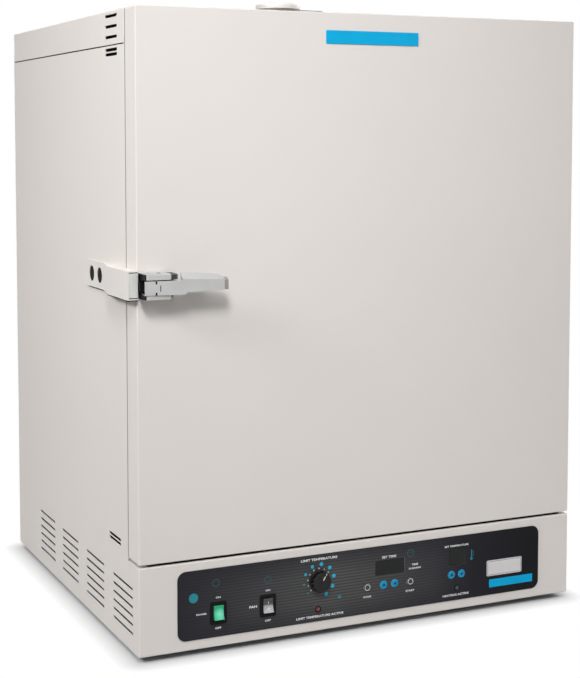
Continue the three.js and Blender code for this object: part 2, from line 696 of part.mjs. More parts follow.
// Strike on the left side: a pad with two plugged holes, a ramp and a box that holds the keeper
const strikeInner = leftEdge - gap;
const strikeOuter = leftEdge - strike.proud;
const keeperRear = bodyFront + keeper.lap;
function strikeBracket() {
  const padFace = leftEdge - strike.pad;
  const outline = outlineOf([
    [strikeInner, strike.rear],
    [padFace, strike.rear],
    [padFace, strike.rampRear],
    [strikeOuter, strike.rampFront],
    [strikeOuter, strike.front],
    [strikeInner, strike.front],
  ]);
  const bar = prism("z", around(strikeRise, strike.height), outline);
  const pocketHeight = keeper.height + 2 * keeper.shadowGap;
  const pocket = block(
    [strikeOuter + keeper.wall, leftEdge + overrun],
    [strike.front - overrun, keeperRear],
    around(strikeRise, pocketHeight),
  );
  const through = [strikeOuter, leftEdge + overrun];
  const holes = plugPlaces.map((depth) => rod("x", plug.radius + gap, through, [depth, strikeRise]));
  return cut(bar, pocket, ...holes);
}
addPiece("strike_bracket", strikeBracket(), "paint");

function strikeBlock() {
  const xs = [strikeOuter + keeper.wall + gap, strikeInner - gap];
  const ys = [strike.front, keeperRear - gap];
  return softBlock("y", xs, ys, around(strikeRise, keeper.height), keeper.shadowGap);
}
addPiece("strike_block", strikeBlock(), "castMetal");

["strike_plug_front", "strike_plug_rear"].forEach((name, i) => {
  const centre = [plugPlaces[i], strikeRise];
  const disc = rod("x", plug.radius, [strikeInner - plug.thickness, strikeInner], centre, sides.round);
  const dome = rod(
    "x",
    plug.radius / 2,
    [strikeInner - plug.thickness - plug.domeRise, strikeInner - plug.thickness / 2],
    centre,
    sides.round,
  );
  addPiece(name, join(disc, dome), "blackPlastic");
});

// Hinges: the fixed half carries the pin, and the door's half turns on it
const hingeRises = {
  lower: doorBottom + hingeRiseShares.lower * (cabinet.height - doorBottom),
  upper: doorBottom + hingeRiseShares.upper * (cabinet.height - doorBottom),
};
function hingeHalf(rises, leafYs, webYs, bore) {
  const [axisX] = hingeAxis;
  const leafXs = [halfWidth + gap, halfWidth + gap + hinge.leaf];
  const leaf = block(leafXs, leafYs, around(0, hinge.height));
  const web = block([halfWidth + gap, axisX], webYs, rises);
  const knuckle = rod("z", hinge.knuckleRadius, rises, hingeAxis, sides.round);
  const tunnel = rod("z", bore, grown(rises, overrun), hingeAxis, sides.small);
  return cut(join(leaf, web, knuckle), tunnel);
}
const fixedRises = [-hinge.height / 2, -gap / 2];
const turningRises = [gap / 2, hinge.height / 2];
const fixedYs = [bodyFront + hinge.web, bodyFront + hinge.web + hinge.leafDepth];
const turningYs = [door.thickness - hinge.web - hinge.doorLeafDepth, door.thickness - hinge.web];
for (const [where, rise] of Object.entries(hingeRises)) {
  const pin = rod("z", hinge.pinRadius, [fixedRises[0], turningRises[1] - gap], hingeAxis, sides.small);
  const webBack = [hingeAxis[1], fixedYs[0] + sheet];
  const fixedHalf = join(hingeHalf(fixedRises, fixedYs, webBack, hinge.pinRadius / 2), pin);
  addPiece(`hinge_${where}_fixed`, fixedHalf, "steel").position.z = rise;
  const webFront = [turningYs[1] - sheet, hingeAxis[1]];
  const turningHalf = hingeHalf(turningRises, turningYs, webFront, hinge.pinRadius + gap);
  addPiece(`hinge_${where}_door`, turningHalf, "steel", doorGroup).position.z = rise;
}

// Four feet under the base pan
function levellingFoot() {
  const profile = [
    [0, -foot.height],
    [foot.radius, -foot.height],
    [foot.radius, -foot.height / 2],
    [foot.neckRadius, -gap],
    [0, -gap],
  ].map(([radius, rise]) => new THREE.Vector2(radius, rise));
  const geometry = new THREE.LatheGeometry(profile, sides.round);
  geometry.rotateX(quarterTurn);
  return solidFrom(geometry);
}
const footSolid = levellingFoot();
for (const [hand, x] of [["left", leftEdge + foot.inset], ["right", halfWidth - foot.inset]]) {
  for (const [end, y] of [["front", foot.inset], ["rear", cabinet.depth - foot.inset]]) {
    addPiece(`foot_${end}_${hand}`, footSolid, "rubber").position.set(x, y, 0);
  }
}

// Controls behind and on the fascia
for (const name of switchNames) {
  const [x, z] = controlPlace(name);
  const rimYs = [filmFront - gap - rockerSwitch.rim, filmFront - gap];
  const rim = prism(
    "y",
    rimYs,
    roundRect(around(x, rockerSwitch.width), around(z, rockerSwitch.height), rockerSwitch.cornerRadius),
  );
  const bodyYs = [middle(rimYs), rockerWell.bodyDepth];
  const body = block(around(x, rockerSwitch.bodyWidth), bodyYs, around(z, rockerSwitch.bodyHeight));
  const wellYs = [rimYs[0] - overrun, rockerWell.depth];
  const well = block(around(x, rockerWell.width), wellYs, around(z, rockerWell.height));
  addPiece(`${name}_housing`, cut(join(rim, body), well), "blackPlastic");

  // The rocker is drawn level about its pivot and rests with its upper half pressed in.
  const half = rocker.height / 2;
  const outline = outlineOf([
    [-rocker.peak, -half],
    [-rocker.valley, 0],
    [-rocker.peak, half],
    [-rocker.shoulder, half],
    [rocker.heel, half / 3],
    [rocker.heel, -half / 3],
    [-rocker.shoulder, -half],
  ]);
  const paddle = addPiece(
    name.replace("switch", "rocker"),
    prism("x", around(0, rocker.width), outline),
    name === "power_switch" ? "green" : "blackPlastic",
  );
  paddle.position.set(x, rocker.pivotDepth, z);
  paddle.rotation.x = (-rocker.tiltDegrees * Math.PI) / 180;
}

// Limit thermostat behind the fascia, its shaft in the fluted knob
const knobRear = filmFront - knob.lift;
function limitThermostat() {
  const place = controlPlace("limit_knob");
  const body = rod("y", limitBody.radius, [sheet + gap, sheet + gap + limitBody.depth], place);
  const stemYs = [knobRear - knob.bore + gap, sheet + limitBody.depth / 2];
  const stem = rod("y", limitBody.shaftRadius, stemYs, place, sides.small);
  return join(body, stem);
}
addPiece("limit_thermostat", limitThermostat(), "steel");

function limitKnob() {
  const outline = new THREE.Shape();
  const count = 4 * knob.lobes;
  const reach = (i) => knob.radius - knob.lobeDepth * (0.5 - 0.5 * Math.cos((i * 2 * Math.PI) / 4));
  const points = repeat(count, (i) => {
    const angle = (i * 2 * Math.PI) / count;
    return new THREE.Vector2(reach(i) * Math.cos(angle), reach(i) * Math.sin(angle));
  });
  outline.setFromPoints(points);
  const solid = prism("y", [-knob.height + knob.topRadius, 0], outline, knob.topRadius);
  const wide = around(0, 3 * knob.radius);
  const trimmed = solid.intersect(block(wide, [-knob.height, 0], wide));
  return cut(trimmed, rod("y", limitBody.shaftRadius + gap, [-knob.bore, overrun], [0, 0], sides.small));
}
const [knobX, knobZ] = controlPlace("limit_knob");
addPiece("limit_knob", limitKnob(), "blackPlastic").position.set(knobX, knobRear, knobZ);

// Push buttons: a round cap in the film's hole and a stem through the fascia to the board
const buttonFinishes = { mode_button: "blackPlastic", start_button: "blackPlastic" };
const capRear = -gap - button.travel;
function pushButton() {
  const capFront = filmFront - button.proud;
  const head = rod("y", button.radius, [capFront, capRear], [0, 0], sides.round);
  const stemYs = [capRear - gap, board.depth - button.travel - gap];
  const stem = rod("y", button.stemRadius, stemYs, [0, 0], sides.small);
  return join(head, stem);
}
const buttonSolid = pushButton();
for (const name of buttonNames) {
  const [x, z] = controlPlace(name);
  addPiece(name, buttonSolid, buttonFinishes[name] ?? "blue").position.set(x, 0, z);
}

// Displays: a block on the board with a lens that fills its window
for (const [name, { width, height }] of Object.entries(windows)) {
  const [x, z] = controlPlace(name);
  const lensYs = [display.front, board.depth - gap];
  const lens = block(around(x, width - 2 * gap), lensYs, around(z, height - 2 * gap));
  const bodyYs = [sheet + gap, board.depth - gap];
  const body = block(around(x, width + display.rim), bodyYs, around(z, height + display.rim));
  addPiece(name, join(lens, body), "smoked");
}

// Control board on four posts, with a transformer and a relay behind it
function controlBoard() {
  const [left] = controlPlace("mode_button");
  const [right] = controlPlace("temp_down_button");
  const xs = grown([left, right], board.margin);
  const zs = grown(filmZs, -board.inset);
  const ys = [board.depth, board.depth + board.thickness];
  const plate = block(xs, ys, zs);
  const postYs = [sheet + gap, middle(ys)];
  const posts = grown(xs, -board.postInset).flatMap((x) =>
    grown(zs, -board.postInset).map((z) => rod("y", board.postRadius, postYs, [x, z], sides.rod)),
  );
  const partYs = [middle(ys), ys[1] + boardPart.depth];
  const parts = grown(xs, -boardPart.inset).map((x) =>
    block(around(x, boardPart.width), partYs, around(middle(zs), boardPart.height)),
  );
  return join(plate, ...posts, ...parts);
}
addPiece("control_board", controlBoard(), "greenBoard");

// Power inlet in the rear cover, its socket open to the rear
function powerInlet() {
  const flangeYs = [cabinet.depth + gap, cabinet.depth + gap + inlet.flange];
  const flange = prism(
    "y",
    flangeYs,
    roundRect(around(inletAcross, inlet.width), around(inlet.rise, inlet.height), socket.cornerRadius),
  );
  const body = block(
    around(inletAcross, inlet.bodyWidth),
    [cabinet.depth - socket.bodyDepth, middle(flangeYs)],
    around(inlet.rise, inlet.bodyHeight),
  );
  const floor = flangeYs[1] - socket.depth;
  const well = block(
    around(inletAcross, socket.width),
    [floor, flangeYs[1] + overrun],
    around(inlet.rise, socket.height),
  );
  const pins = [-1, 0, 1].map((place) =>
    block(
      around(inletAcross + place * socketPin.spread, socketPin.width),
      [floor - socketPin.width, floor + socketPin.length],
      around(inlet.rise + (place === 0 ? socketPin.lift : -socketPin.lift), socketPin.height),
    ),
  );
  return join(cut(join(flange, body), well), ...pins);
}
addPiece("power_inlet", powerInlet(), "blackPlastic");

// Door: a skin with turned edges, an inner panel behind it and wool between them
const doorXs = [-halfWidth, halfWidth];
const doorZs = [doorBottom, cabinet.height];
const doorRear = door.thickness - sheet;
function doorSkin() {
  const rear = doorRear - gap;
  const shell = softBlock("y", doorXs, [0, rear], doorZs, door.edgeRadius);
  const hollow = block(grown(doorXs, -sheet), [sheet, rear - sheet], grown(doorZs, -sheet));
  const windowYs = [rear - 2 * sheet, rear + overrun];
  const rearWindow = block(grown(doorXs, -door.flange), windowYs, grown(doorZs, -door.flange));
  return cut(shell, hollow, rearWindow);
}
addPiece("door_skin", doorSkin(), "paint", doorGroup);

function doorInnerPanel() {
  const inset = door.flange + gap;
  const plate = block(grown(doorXs, -sheet), [doorRear, door.thickness], grown(doorZs, -sheet));
  const trayYs = [doorRear - 2 * sheet, middle([doorRear, door.thickness])];
  const tray = block(grown(doorXs, -inset), trayYs, grown(doorZs, -inset));
  const hollowYs = [doorRear - 3 * sheet, doorRear];
  const hollow = block(grown(doorXs, -inset - sheet), hollowYs, grown(doorZs, -inset - sheet));
  return cut(join(plate, tray), hollow);
}
addPiece("door_inner_panel", doorInnerPanel(), "stainless", doorGroup);

function doorInsulation() {
  const inset = sheet + insulationGap;
  const rear = doorRear - 3 * sheet - insulationGap;
  return block(grown(doorXs, -inset), [inset, rear], grown(doorZs, -inset));
}
addPiece("door_insulation", doorInsulation(), "wool", doorGroup);

function doorGasket() {
  const ys = [door.thickness + gap, bodyFront - gap];
  const loop = (reach) => {
    const xs = grown([-chamberHalf, chamberHalf], reach);
    return roundRect(xs, grown([chamberFloor, chamberRoof], reach), reach);
  };
  const outer = prism("y", ys, loop(gasket.outer));
  return cut(outer, prism("y", grown(ys, overrun), loop(gasket.inner)));
}
addPiece("door_gasket", doorGasket(), "silicone", doorGroup);

const badgeLow = cabinet.height - badge.drop;
const badgePlate = block(
  around(badge.across, badge.width),
  [-gap - badge.thickness, -gap],
  [badgeLow, badgeLow + badge.height],
);
addPiece("door_badge", badgePlate, "blue", doorGroup);

// Latch: a base with two ears on the door, a lever on a pin and a bolt that the lever's tooth drives
const latchXs = [leftEdge + latch.left, leftEdge + latch.left + latch.width];
const latchZs = around(latchRise, latch.span);
const rootZs = [latchZs[0] + latch.lowerEar, latchZs[1] - latch.upperEar];
const plateYs = [-gap - latch.plate, -gap];
const boltZs = around(middle(rootZs), bolt.height);

function handleBase() {
  const plate = block(latchXs, plateYs, latchZs);
  const earOutline = roundRect(latchXs, [-latch.depth, middle(plateYs)], latch.plate);
  const ears = [[latchZs[0], rootZs[0]], [rootZs[1], latchZs[1]]].map((zs) => prism("z", zs, earOutline));
  const earHoles = rod("z", pivot.radius + gap, grown(latchZs, overrun), pivotPlace, sides.small);
  return cut(join(plate, ...ears), earHoles);
}
addPiece("handle_base", handleBase(), "castMetal", doorGroup);
const handlePin = rod("z", pivot.radius, grown(latchZs, -gap), pivotPlace, sides.small);
addPiece("handle_pin", handlePin, "steel", doorGroup);

function handleLever() {
  const [px, py] = pivotPlace;
  const face = -lever.face;
  const armRear = face + lever.armThickness;
  const tipX = leftEdge + lever.right;
  const armX = latchXs[1];
  const outline = new THREE.Shape();
  outline.moveTo(px - 2 * lever.hub, py - 2 * lever.hub);
  outline.lineTo(px - 2 * lever.hub, py - lever.hub / 2);
  outline.absarc(px, py, lever.hub, Math.PI, 0, true);
  outline.lineTo(px + 3 * lever.hub, armRear - gap);
  outline.lineTo(armX + lever.hub, armRear);
  outline.lineTo(armX + lever.hub, face);
  outline.lineTo(armX - lever.hub, face);
  const root = prism("z", grown(rootZs, -gap), outline);
  const faceTop = rootZs[0] + lever.faceRise;
  const armOutline = outlineOf([
    [face, rootZs[0] + gap],
    [face, faceTop],
    [armRear - gap, latchZs[1]],
    [armRear, latchZs[1]],
    [armRear, rootZs[0] + gap],
  ]);
  const arm = prism("x", [armX + 2 * gap, tipX], armOutline);
  const taper = prism(
    "y",
    [face - overrun, armRear + overrun],
    outlineOf([
      [middle([armX, tipX]), rootZs[0]],
      [tipX + overrun, rootZs[0]],
      [tipX + overrun, rootZs[0] + lever.tipTaper],
    ]),
  );
  const toothZs = grown(boltZs, -2 * gap);
  const neck = block(around(px, 2 * tooth.radius), [py, py + tooth.reach], toothZs);
  const tip = rod("z", tooth.radius, toothZs, [px, py + tooth.reach], sides.small);
  const bore = rod("z", pivot.radius + gap, grown(latchZs, overrun), pivotPlace, sides.small);
  return cut(join(root, arm, neck, tip), taper, bore);
}
addPiece("handle_lever", handleLever(), "castMetal", doorGroup);

function latchBolt() {
  const nose = strikeInner - gap + keeper.clearance + gap;
  const ys = [-bolt.top, plateYs[0] - gap];
  const bar = softBlock("y", [nose, nose + bolt.length], ys, boltZs, 2 * gap);
  const notchXs = around(pivotPlace[0], 2 * bolt.notch);
  const notch = block(notchXs, [ys[0] - overrun, ys[0] + bolt.notchDepth], grown(boltZs, overrun));
  return cut(bar, notch);
}
addPiece("latch_bolt", latchBolt(), "steel", doorGroup);

// The whole oven stands on the floor, with its middle over the origin
const frontMost = -lever.face;
const rearMost = cabinet.depth + gap + inlet.flange;
oven.position.set(0, -middle([frontMost, rearMost]), foot.height);
const part = new THREE.Group();
part.add(oven);

export default part;
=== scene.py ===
import json
import math

import bmesh
import bpy
from mathutils import Matrix, Vector


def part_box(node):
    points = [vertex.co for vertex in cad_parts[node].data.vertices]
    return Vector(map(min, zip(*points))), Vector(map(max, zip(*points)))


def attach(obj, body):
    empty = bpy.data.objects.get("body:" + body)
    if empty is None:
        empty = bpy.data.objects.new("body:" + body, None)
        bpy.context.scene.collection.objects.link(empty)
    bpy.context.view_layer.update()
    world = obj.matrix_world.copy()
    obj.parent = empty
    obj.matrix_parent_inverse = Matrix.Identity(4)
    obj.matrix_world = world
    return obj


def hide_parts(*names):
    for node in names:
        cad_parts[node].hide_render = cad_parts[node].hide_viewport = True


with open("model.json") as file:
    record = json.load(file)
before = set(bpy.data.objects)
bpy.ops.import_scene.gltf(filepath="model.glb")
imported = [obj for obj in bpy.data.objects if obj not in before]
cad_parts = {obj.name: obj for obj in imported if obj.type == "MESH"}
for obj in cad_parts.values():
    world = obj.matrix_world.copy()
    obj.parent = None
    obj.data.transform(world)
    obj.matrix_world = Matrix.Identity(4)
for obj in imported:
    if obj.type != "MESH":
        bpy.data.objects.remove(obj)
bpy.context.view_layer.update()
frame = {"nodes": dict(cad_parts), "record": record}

print("frame: loaded")
scene = bpy.context.scene
unit = 0.001  # one millimetre in metres
tiny = 0.002  # points closer than this are one point
origin = (0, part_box("door_skin")[0].y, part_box("left_side_panel")[0].z)
toWorld = Matrix.Translation(origin) @ Matrix.Scale(unit, 4)
fromWorld = toWorld.inverted()


# Measuring
def spans(node):  # how far a node reaches in x, y and z
    low, high = (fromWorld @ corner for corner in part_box(node))
    return [(low[i], high[i]) for i in range(3)]


def middle(span):
    return (span[0] + span[1]) / 2


def centreOf(node, axis="y"):  # a node's middle as seen along an axis
    return tuple(middle(span) for name, span in zip("xyz", spans(node)) if name != axis)


def size(span):
    return span[1] - span[0]


def grown(span, by):
    return (span[0] - by, span[1] + by)


def around(centre, width):
    return (centre - width / 2, centre + width / 2)


def evenly(count, start, step):
    return [start + i * step for i in range(count)]


def take(sizes, *names):
    return [sizes[name] for name in names]


def newObject(name, data):
    holder = bpy.data.objects.new(name, data)
    scene.collection.objects.link(holder)
    return holder


# Camera: stands left of the front and looks a little down, at the photograph's angle
cameraSizes = {
    "place": (-1.0876, -2.3846, 0.7949),
    "turn": -24.85,
    "dip": 3.98,
    "lens": 77.85,
    "shift": -0.15,
}


def placeCamera():
    camera = newObject("camera", bpy.data.cameras.new("camera"))
    camera.location = cameraSizes["place"]
    camera.rotation_euler = (math.radians(90 - cameraSizes["dip"]), 0, math.radians(cameraSizes["turn"]))
    camera.data.lens = cameraSizes["lens"]
    camera.data.shift_y = cameraSizes["shift"]
    scene.camera = camera


# Nodes
def fillInputs(tree, node, inputs):  # an input is a value or another node's output
    for name, value in inputs.items():
        if isinstance(value, bpy.types.NodeSocket):
            tree.links.new(value, node.inputs[name])
        else:
            node.inputs[name].default_value = value
    return node


def addNode(tree, kind, inputs, **settings):
    node = tree.nodes.new("ShaderNode" + kind)
    for name, value in settings.items():
        setattr(node, name, value)
    return fillInputs(tree, node, inputs)


def mixColours(tree, share, first, second, mode="MIX"):
    mix = addNode(tree, "Mix", {0: share, 6: first, 7: second}, data_type="RGBA", blend_type=mode)
    return mix.outputs[2]


def calculate(tree, operation, first, second=0.0, clamp=False):
    return addNode(tree, "Math", {0: first, 1: second}, operation=operation, use_clamp=clamp).outputs[0]


def swung(tree, swing, depth, centre=1.0, clamp=False):  # a value that swings by a depth about another
    return calculate(tree, "ADD", calculate(tree, "MULTIPLY", swing, depth), centre, clamp)


def rerange(tree, value, fromLow, fromHigh, toLow=0.0, toHigh=1.0):
    inputs = {"Value": value, "From Min": fromLow, "From Max": fromHigh, "To Min": toLow, "To Max": toHigh}
    return addNode(tree, "MapRange", inputs).outputs["Result"]


def awayFrom(tree, value, centre):  # how far a value is from another
    return calculate(tree, "ABSOLUTE", calculate(tree, "SUBTRACT", value, centre))


def shaded(tree, colour, shade):  # a colour made darker or paler
    even = addNode(tree, "CombineColor", {0: shade, 1: shade, 2: shade}).outputs[0]
    return mixColours(tree, 1.0, colour, even, "MULTIPLY")


def objectPlace(tree):
    return addNode(tree, "TexCoord", {}).outputs["Object"]


def parted(tree, vector):  # a vector's X, Y and Z
    return addNode(tree, "SeparateXYZ", {0: vector}).outputs


def upwardness(tree):  # 1 where a surface looks up
    return parted(tree, addNode(tree, "NewGeometry", {}).outputs["Normal"])["Z"]


def noiseAt(tree, place, scale, detail=2.0, roughness=0.5):
    inputs = {"Vector": place, "Scale": scale, "Detail": detail, "Roughness": roughness}
    return addNode(tree, "TexNoise", inputs).outputs["Fac"]


# Groups: effects that several finishes share
grey = (0.5, 0.5, 0.5, 1.0)


def startGroup(name, inputs, outputs):
    tree = bpy.data.node_groups.new(name, "ShaderNodeTree")
    kinds = {float: "NodeSocketFloat", tuple: "NodeSocketColor"}
    for socketName, value in inputs.items():
        socket = tree.interface.new_socket(socketName, in_out="INPUT", socket_type=kinds[type(value)])
        socket.default_value = value
    for socketName, value in outputs.items():
        tree.interface.new_socket(socketName, in_out="OUTPUT", socket_type=kinds[type(value)])
    return tree, tree.nodes.new("NodeGroupInput").outputs, tree.nodes.new("NodeGroupOutput").inputs


def toneDriftGroup():  # slow changes of shade and sheen over a surface
    tree, given, out = startGroup(
        "toneDrift",
        {"Colour": grey, "Drift": 0.03, "Clouds": 6.0, "Roughness": 0.4, "Sheen Drift": 0.08},
        {"Colour": grey, "Roughness": 0.5},
    )
    cloud = noiseAt(tree, objectPlace(tree), given["Clouds"], 4.0)
    swing = rerange(tree, cloud, 0.3, 0.7, -1.0)
    tree.links.new(shaded(tree, given["Colour"], swung(tree, swing, given["Drift"])), out["Colour"])
    tree.links.new(swung(tree, swing, given["Sheen Drift"], given["Roughness"], True), out["Roughness"])
    return tree


def fineReliefGroup():  # height of a fine even grain with a coarser one under it
    tree, given, out = startGroup("fineRelief", {"Grain": 900.0, "Coarse Share": 0.4}, {"Height": 0.5})
    place = objectPlace(tree)
    fine = noiseAt(tree, place, given["Grain"], 3.0, 0.6)
    coarse = noiseAt(tree, place, calculate(tree, "DIVIDE", given["Grain"], 5.0))
    mix = addNode(tree, "Mix", {0: given["Coarse Share"], 2: fine, 3: coarse})
    tree.links.new(mix.outputs[0], out["Height"])
    return tree


def brushLinesGroup():  # long fine scratches left by brushing, along the axis with the small number
    tree, given, out = startGroup(
        "brushLines",
        {"Colour": grey, "Across X": 60.0, "Across Y": 60.0, "Across Z": 3000.0,
         "Roughness": 0.3, "Depth": 0.12},
        {"Colour": grey, "Roughness": 0.5, "Height": 0.5},
    )
    stretch = addNode(tree, "CombineXYZ", {i: given[f"Across {axis}"] for i, axis in enumerate("XYZ")})
    place = addNode(tree, "VectorMath", {0: objectPlace(tree), 1: stretch.outputs[0]}, operation="MULTIPLY")
    lines = noiseAt(tree, place.outputs[0], 1.0, 4.0, 0.65)
    swing = rerange(tree, lines, 0.25, 0.75, -1.0)
    tree.links.new(shaded(tree, given["Colour"], swung(tree, swing, given["Depth"])), out["Colour"])
    tree.links.new(swung(tree, swing, given["Depth"], given["Roughness"], True), out["Roughness"])
    tree.links.new(lines, out["Height"])
    return tree


def settledDustGroup():  # thin dust where a surface looks up
    tree, given, out = startGroup(
        "settledDust",
        {"Colour": grey, "Dust": (0.62, 0.6, 0.56, 1.0), "Amount": 0.15},
        {"Colour": grey},
    )
    patch = noiseAt(tree, objectPlace(tree), 35.0, 5.0, 0.6)
    spread = calculate(tree, "MULTIPLY", rerange(tree, upwardness(tree), 0.3, 1.0),
                       rerange(tree, patch, 0.3, 0.7, 0.3))
    mask = calculate(tree, "MULTIPLY", spread, given["Amount"], True)
    tree.links.new(mixColours(tree, mask, given["Colour"], given["Dust"]), out["Colour"])
    return tree


def speckleGroup():  # fine specks of a cast skin
    tree, given, out = startGroup("speckle", {"Colour": grey, "Specks": 1600.0}, {"Colour": grey})
    speckle = rerange(tree, noiseAt(tree, objectPlace(tree), given["Specks"], 4.0, 0.7), 0.3, 0.7, 0.86, 1.08)
    tree.links.new(shaded(tree, given["Colour"], speckle), out["Colour"])
    return tree


groups = {
    "speckle": speckleGroup(),
    "toneDrift": toneDriftGroup(),
    "fineRelief": fineReliefGroup(),
    "brushLines": brushLinesGroup(),
    "settledDust": settledDustGroup(),
}


def useGroup(tree, name, inputs):
    node = tree.nodes.new("ShaderNodeGroup")
    node.node_tree = groups[name]
    return fillInputs(tree, node, inputs).outputs


# Finishes: each is a material that knows the record's slot it stands for
def rgb(*shares):  # a colour as it looks, turned into light
    return (*(((v + 0.055) / 1.055) ** 2.4 if v > 0.04045 else v / 12.92 for v in shares), 1.0)


def startFinish(name, slotName, **values):
    finish = bpy.data.materials.new(name)
    finish.use_nodes = True
    finish["slot"] = slotName
    tree = finish.node_tree
    shader = tree.nodes["Principled BSDF"]
    for socketName, value in values.items():
        shader.inputs[socketName.replace("_", " ")].default_value = value
    return finish, tree, shader.inputs


def addTone(tree, shader, colour, roughness, drift, clouds, sheenDrift=0.08, dust=0.0):
    given = {"Colour": colour, "Drift": drift, "Clouds": clouds, "Roughness": roughness}
    tone = useGroup(tree, "toneDrift", {**given, "Sheen Drift": sheenDrift})
    shown = tone["Colour"]
    if dust:
        shown = useGroup(tree, "settledDust", {"Colour": shown, "Amount": dust})["Colour"]
    tree.links.new(shown, shader["Base Color"])
    tree.links.new(tone["Roughness"], shader["Roughness"])


def addBump(tree, shader, height, strength, depth):
    inputs = {"Height": height, "Strength": strength, "Distance": depth}
    tree.links.new(addNode(tree, "Bump", inputs).outputs["Normal"], shader["Normal"])


def addGrain(tree, shader, grain, coarse, strength, depth):
    height = useGroup(tree, "fineRelief", {"Grain": grain, "Coarse Share": coarse})["Height"]
    addBump(tree, shader, height, strength, depth)


def plainFinish(name, slotName, colour, roughness, drift, clouds, grain, relief,
                coarse=0.4, depth=0.00015, dust=0.0, **values):
    finish, tree, shader = startFinish(name, slotName, **values)
    addTone(tree, shader, rgb(*colour), roughness, drift, clouds, 0.06, dust)
    addGrain(tree, shader, grain, coarse, relief, depth)
    return finish


def addBrushing(tree, shader, colour, roughness, across, depth, relief):
    given = {"Colour": colour, "Roughness": roughness, "Depth": depth}
    given.update({f"Across {axis}": value for axis, value in zip("XYZ", across)})
    lines = useGroup(tree, "brushLines", given)
    addTone(tree, shader, lines["Colour"], lines["Roughness"], 0.03, 3.0)
    addBump(tree, shader, lines["Height"], relief, 0.0001)


def linerSteelFinish():  # brushed stainless sheet
    finish, tree, shader = startFinish("linerSteel", "stainless", Metallic=1.0)
    addBrushing(tree, shader, rgb(0.78, 0.785, 0.79), 0.32, (14.0, 14.0, 2600.0), 0.05, 0.08)
    return finish


def spunFinish():  # satin spun metal, painted paler on its top as light and painted duller down its side as shade
    finish, tree, shader = startFinish("spunMetal", "cast_metal", Metallic=0.25, Specular_IOR_Level=0.3)
    paintedTopLight = rerange(tree, upwardness(tree), 0.1, 0.9)
    # painted light and shade: paler where the surface looks up, darker down its side
    colour = mixColours(tree, paintedTopLight, rgb(0.83, 0.815, 0.8), rgb(0.93, 0.92, 0.9))
    addBrushing(tree, shader, colour, 0.45, (30.0, 30.0, 900.0), 0.1, 0.15)
    return finish


# The film's colours: its paler middle is a painted reflection of the lamps and its dark far right is painted
# shade; the stripes are print
film = {
    "edge": rgb(0.15, 0.15, 0.175),
    "middle": rgb(0.315, 0.315, 0.315),
    "far": rgb(0.05, 0.055, 0.075),
    "palest": (-0.06, 0.078),  # the place in x and z, in metres
    "paleReach": 0.26,
    "paleRise": (0.02, 0.055),
    "darkFrom": 0.12,
    "darkTo": 0.3,
    "stripePitch": 0.0048,
    "stripeDepth": 0.3,
}


def filmFinish():  # dark printed film: fine level stripes, with a painted reflection that makes it palest in its middle and painted shade that makes it darkest at its right
    finish, tree, shader = startFinish("overlayFilm", "overlay_film", Specular_IOR_Level=0.12)
    place = parted(tree, objectPlace(tree))
    across, rise = place["X"], place["Z"]
    # painted reflection: paler towards the film's middle
    paintedReflection = rerange(tree, awayFrom(tree, across, film["palest"][0]), 0.0, film["paleReach"], 1.0, 0.0)
    lower = rerange(tree, awayFrom(tree, rise, film["palest"][1]), *film["paleRise"], 1.0, 0.25)
    paintedReflection = calculate(tree, "MULTIPLY", paintedReflection, lower)
    ground = mixColours(tree, paintedReflection, film["edge"], film["middle"])
    # painted shade: darker towards the film's right
    ground = mixColours(tree, rerange(tree, across, film["darkFrom"], film["darkTo"]), ground, film["far"])
    wave, fine = (calculate(tree, "SINE", calculate(tree, "MULTIPLY", rise, pace / film["stripePitch"]))
                  for pace in (2 * math.pi, 6 * math.pi))
    strength = rerange(tree, paintedReflection, 0.0, 1.0, film["stripeDepth"] * 0.3, film["stripeDepth"])
    striped = shaded(tree, ground, swung(tree, swung(tree, fine, 0.5, wave), strength))
    addTone(tree, shader, striped, 0.36, 0.03, 12.0)
    addGrain(tree, shader, 2500.0, 0.2, 0.08, 0.00005)
    return finish


def castFinish(name, colour):  # satin cast metal with a speckled skin
    finish, tree, shader = startFinish(name, "cast_metal", Metallic=0.3)
    speckled = useGroup(tree, "speckle", {"Colour": rgb(*colour), "Specks": 1600.0})["Colour"]
    addTone(tree, shader, speckled, 0.42, 0.04, 40.0)
    addGrain(tree, shader, 1800.0, 0.5, 0.35, 0.0002)
    return finish


def litGreenFinish():  # green rocker with a lamp behind it, brightest low in its middle
    finish, tree, shader = startFinish("greenRocker", "green_rocker", Roughness=0.22, Emission_Strength=0.22)
    place = objectPlace(tree)
    low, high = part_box("power_rocker")
    centre = ((low.x + high.x) / 2 + unit, (low.y + high.y) / 2, low.z + 0.4 * (high.z - low.z))
    away = addNode(tree, "VectorMath", {0: place, 1: centre}, operation="DISTANCE").outputs["Value"]
    glow = rerange(tree, away, 0.002, 0.011, 1.0, 0.0)
    colour = mixColours(tree, glow, rgb(0.06, 0.6, 0.42), rgb(0.45, 0.86, 0.72))
    ribs = rerange(tree, noiseAt(tree, place, 700.0), 0.35, 0.65, 0.0, 0.12)
    colour = mixColours(tree, ribs, colour, rgb(0.05, 0.5, 0.3))
    tree.links.new(colour, shader["Base Color"])
    tree.links.new(colour, shader["Emission Color"])
    addGrain(tree, shader, 600.0, 0.3, 0.05, 0.0001)
    return finish


def smokyRockerFinish():  # smoky rocker, with painted shade that makes its upper half dark and painted light that makes its lower half paler
    finish, tree, shader = startFinish("smokyRocker", "black_plastic", Specular_IOR_Level=0.3)
    low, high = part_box("fan_rocker")
    tall = high.z - low.z
    # painted light and shade: darker above the rocker's middle, paler below it
    upper = rerange(tree, parted(tree, objectPlace(tree))["Z"], low.z + 0.45 * tall, low.z + 0.6 * tall)
    colour = mixColours(tree, upper, rgb(0.68, 0.68, 0.68), rgb(0.3, 0.3, 0.3))
    addTone(tree, shader, colour, 0.3, 0.12, 160.0)
    addGrain(tree, shader, 900.0, 0.3, 0.05, 0.0001)
    return finish


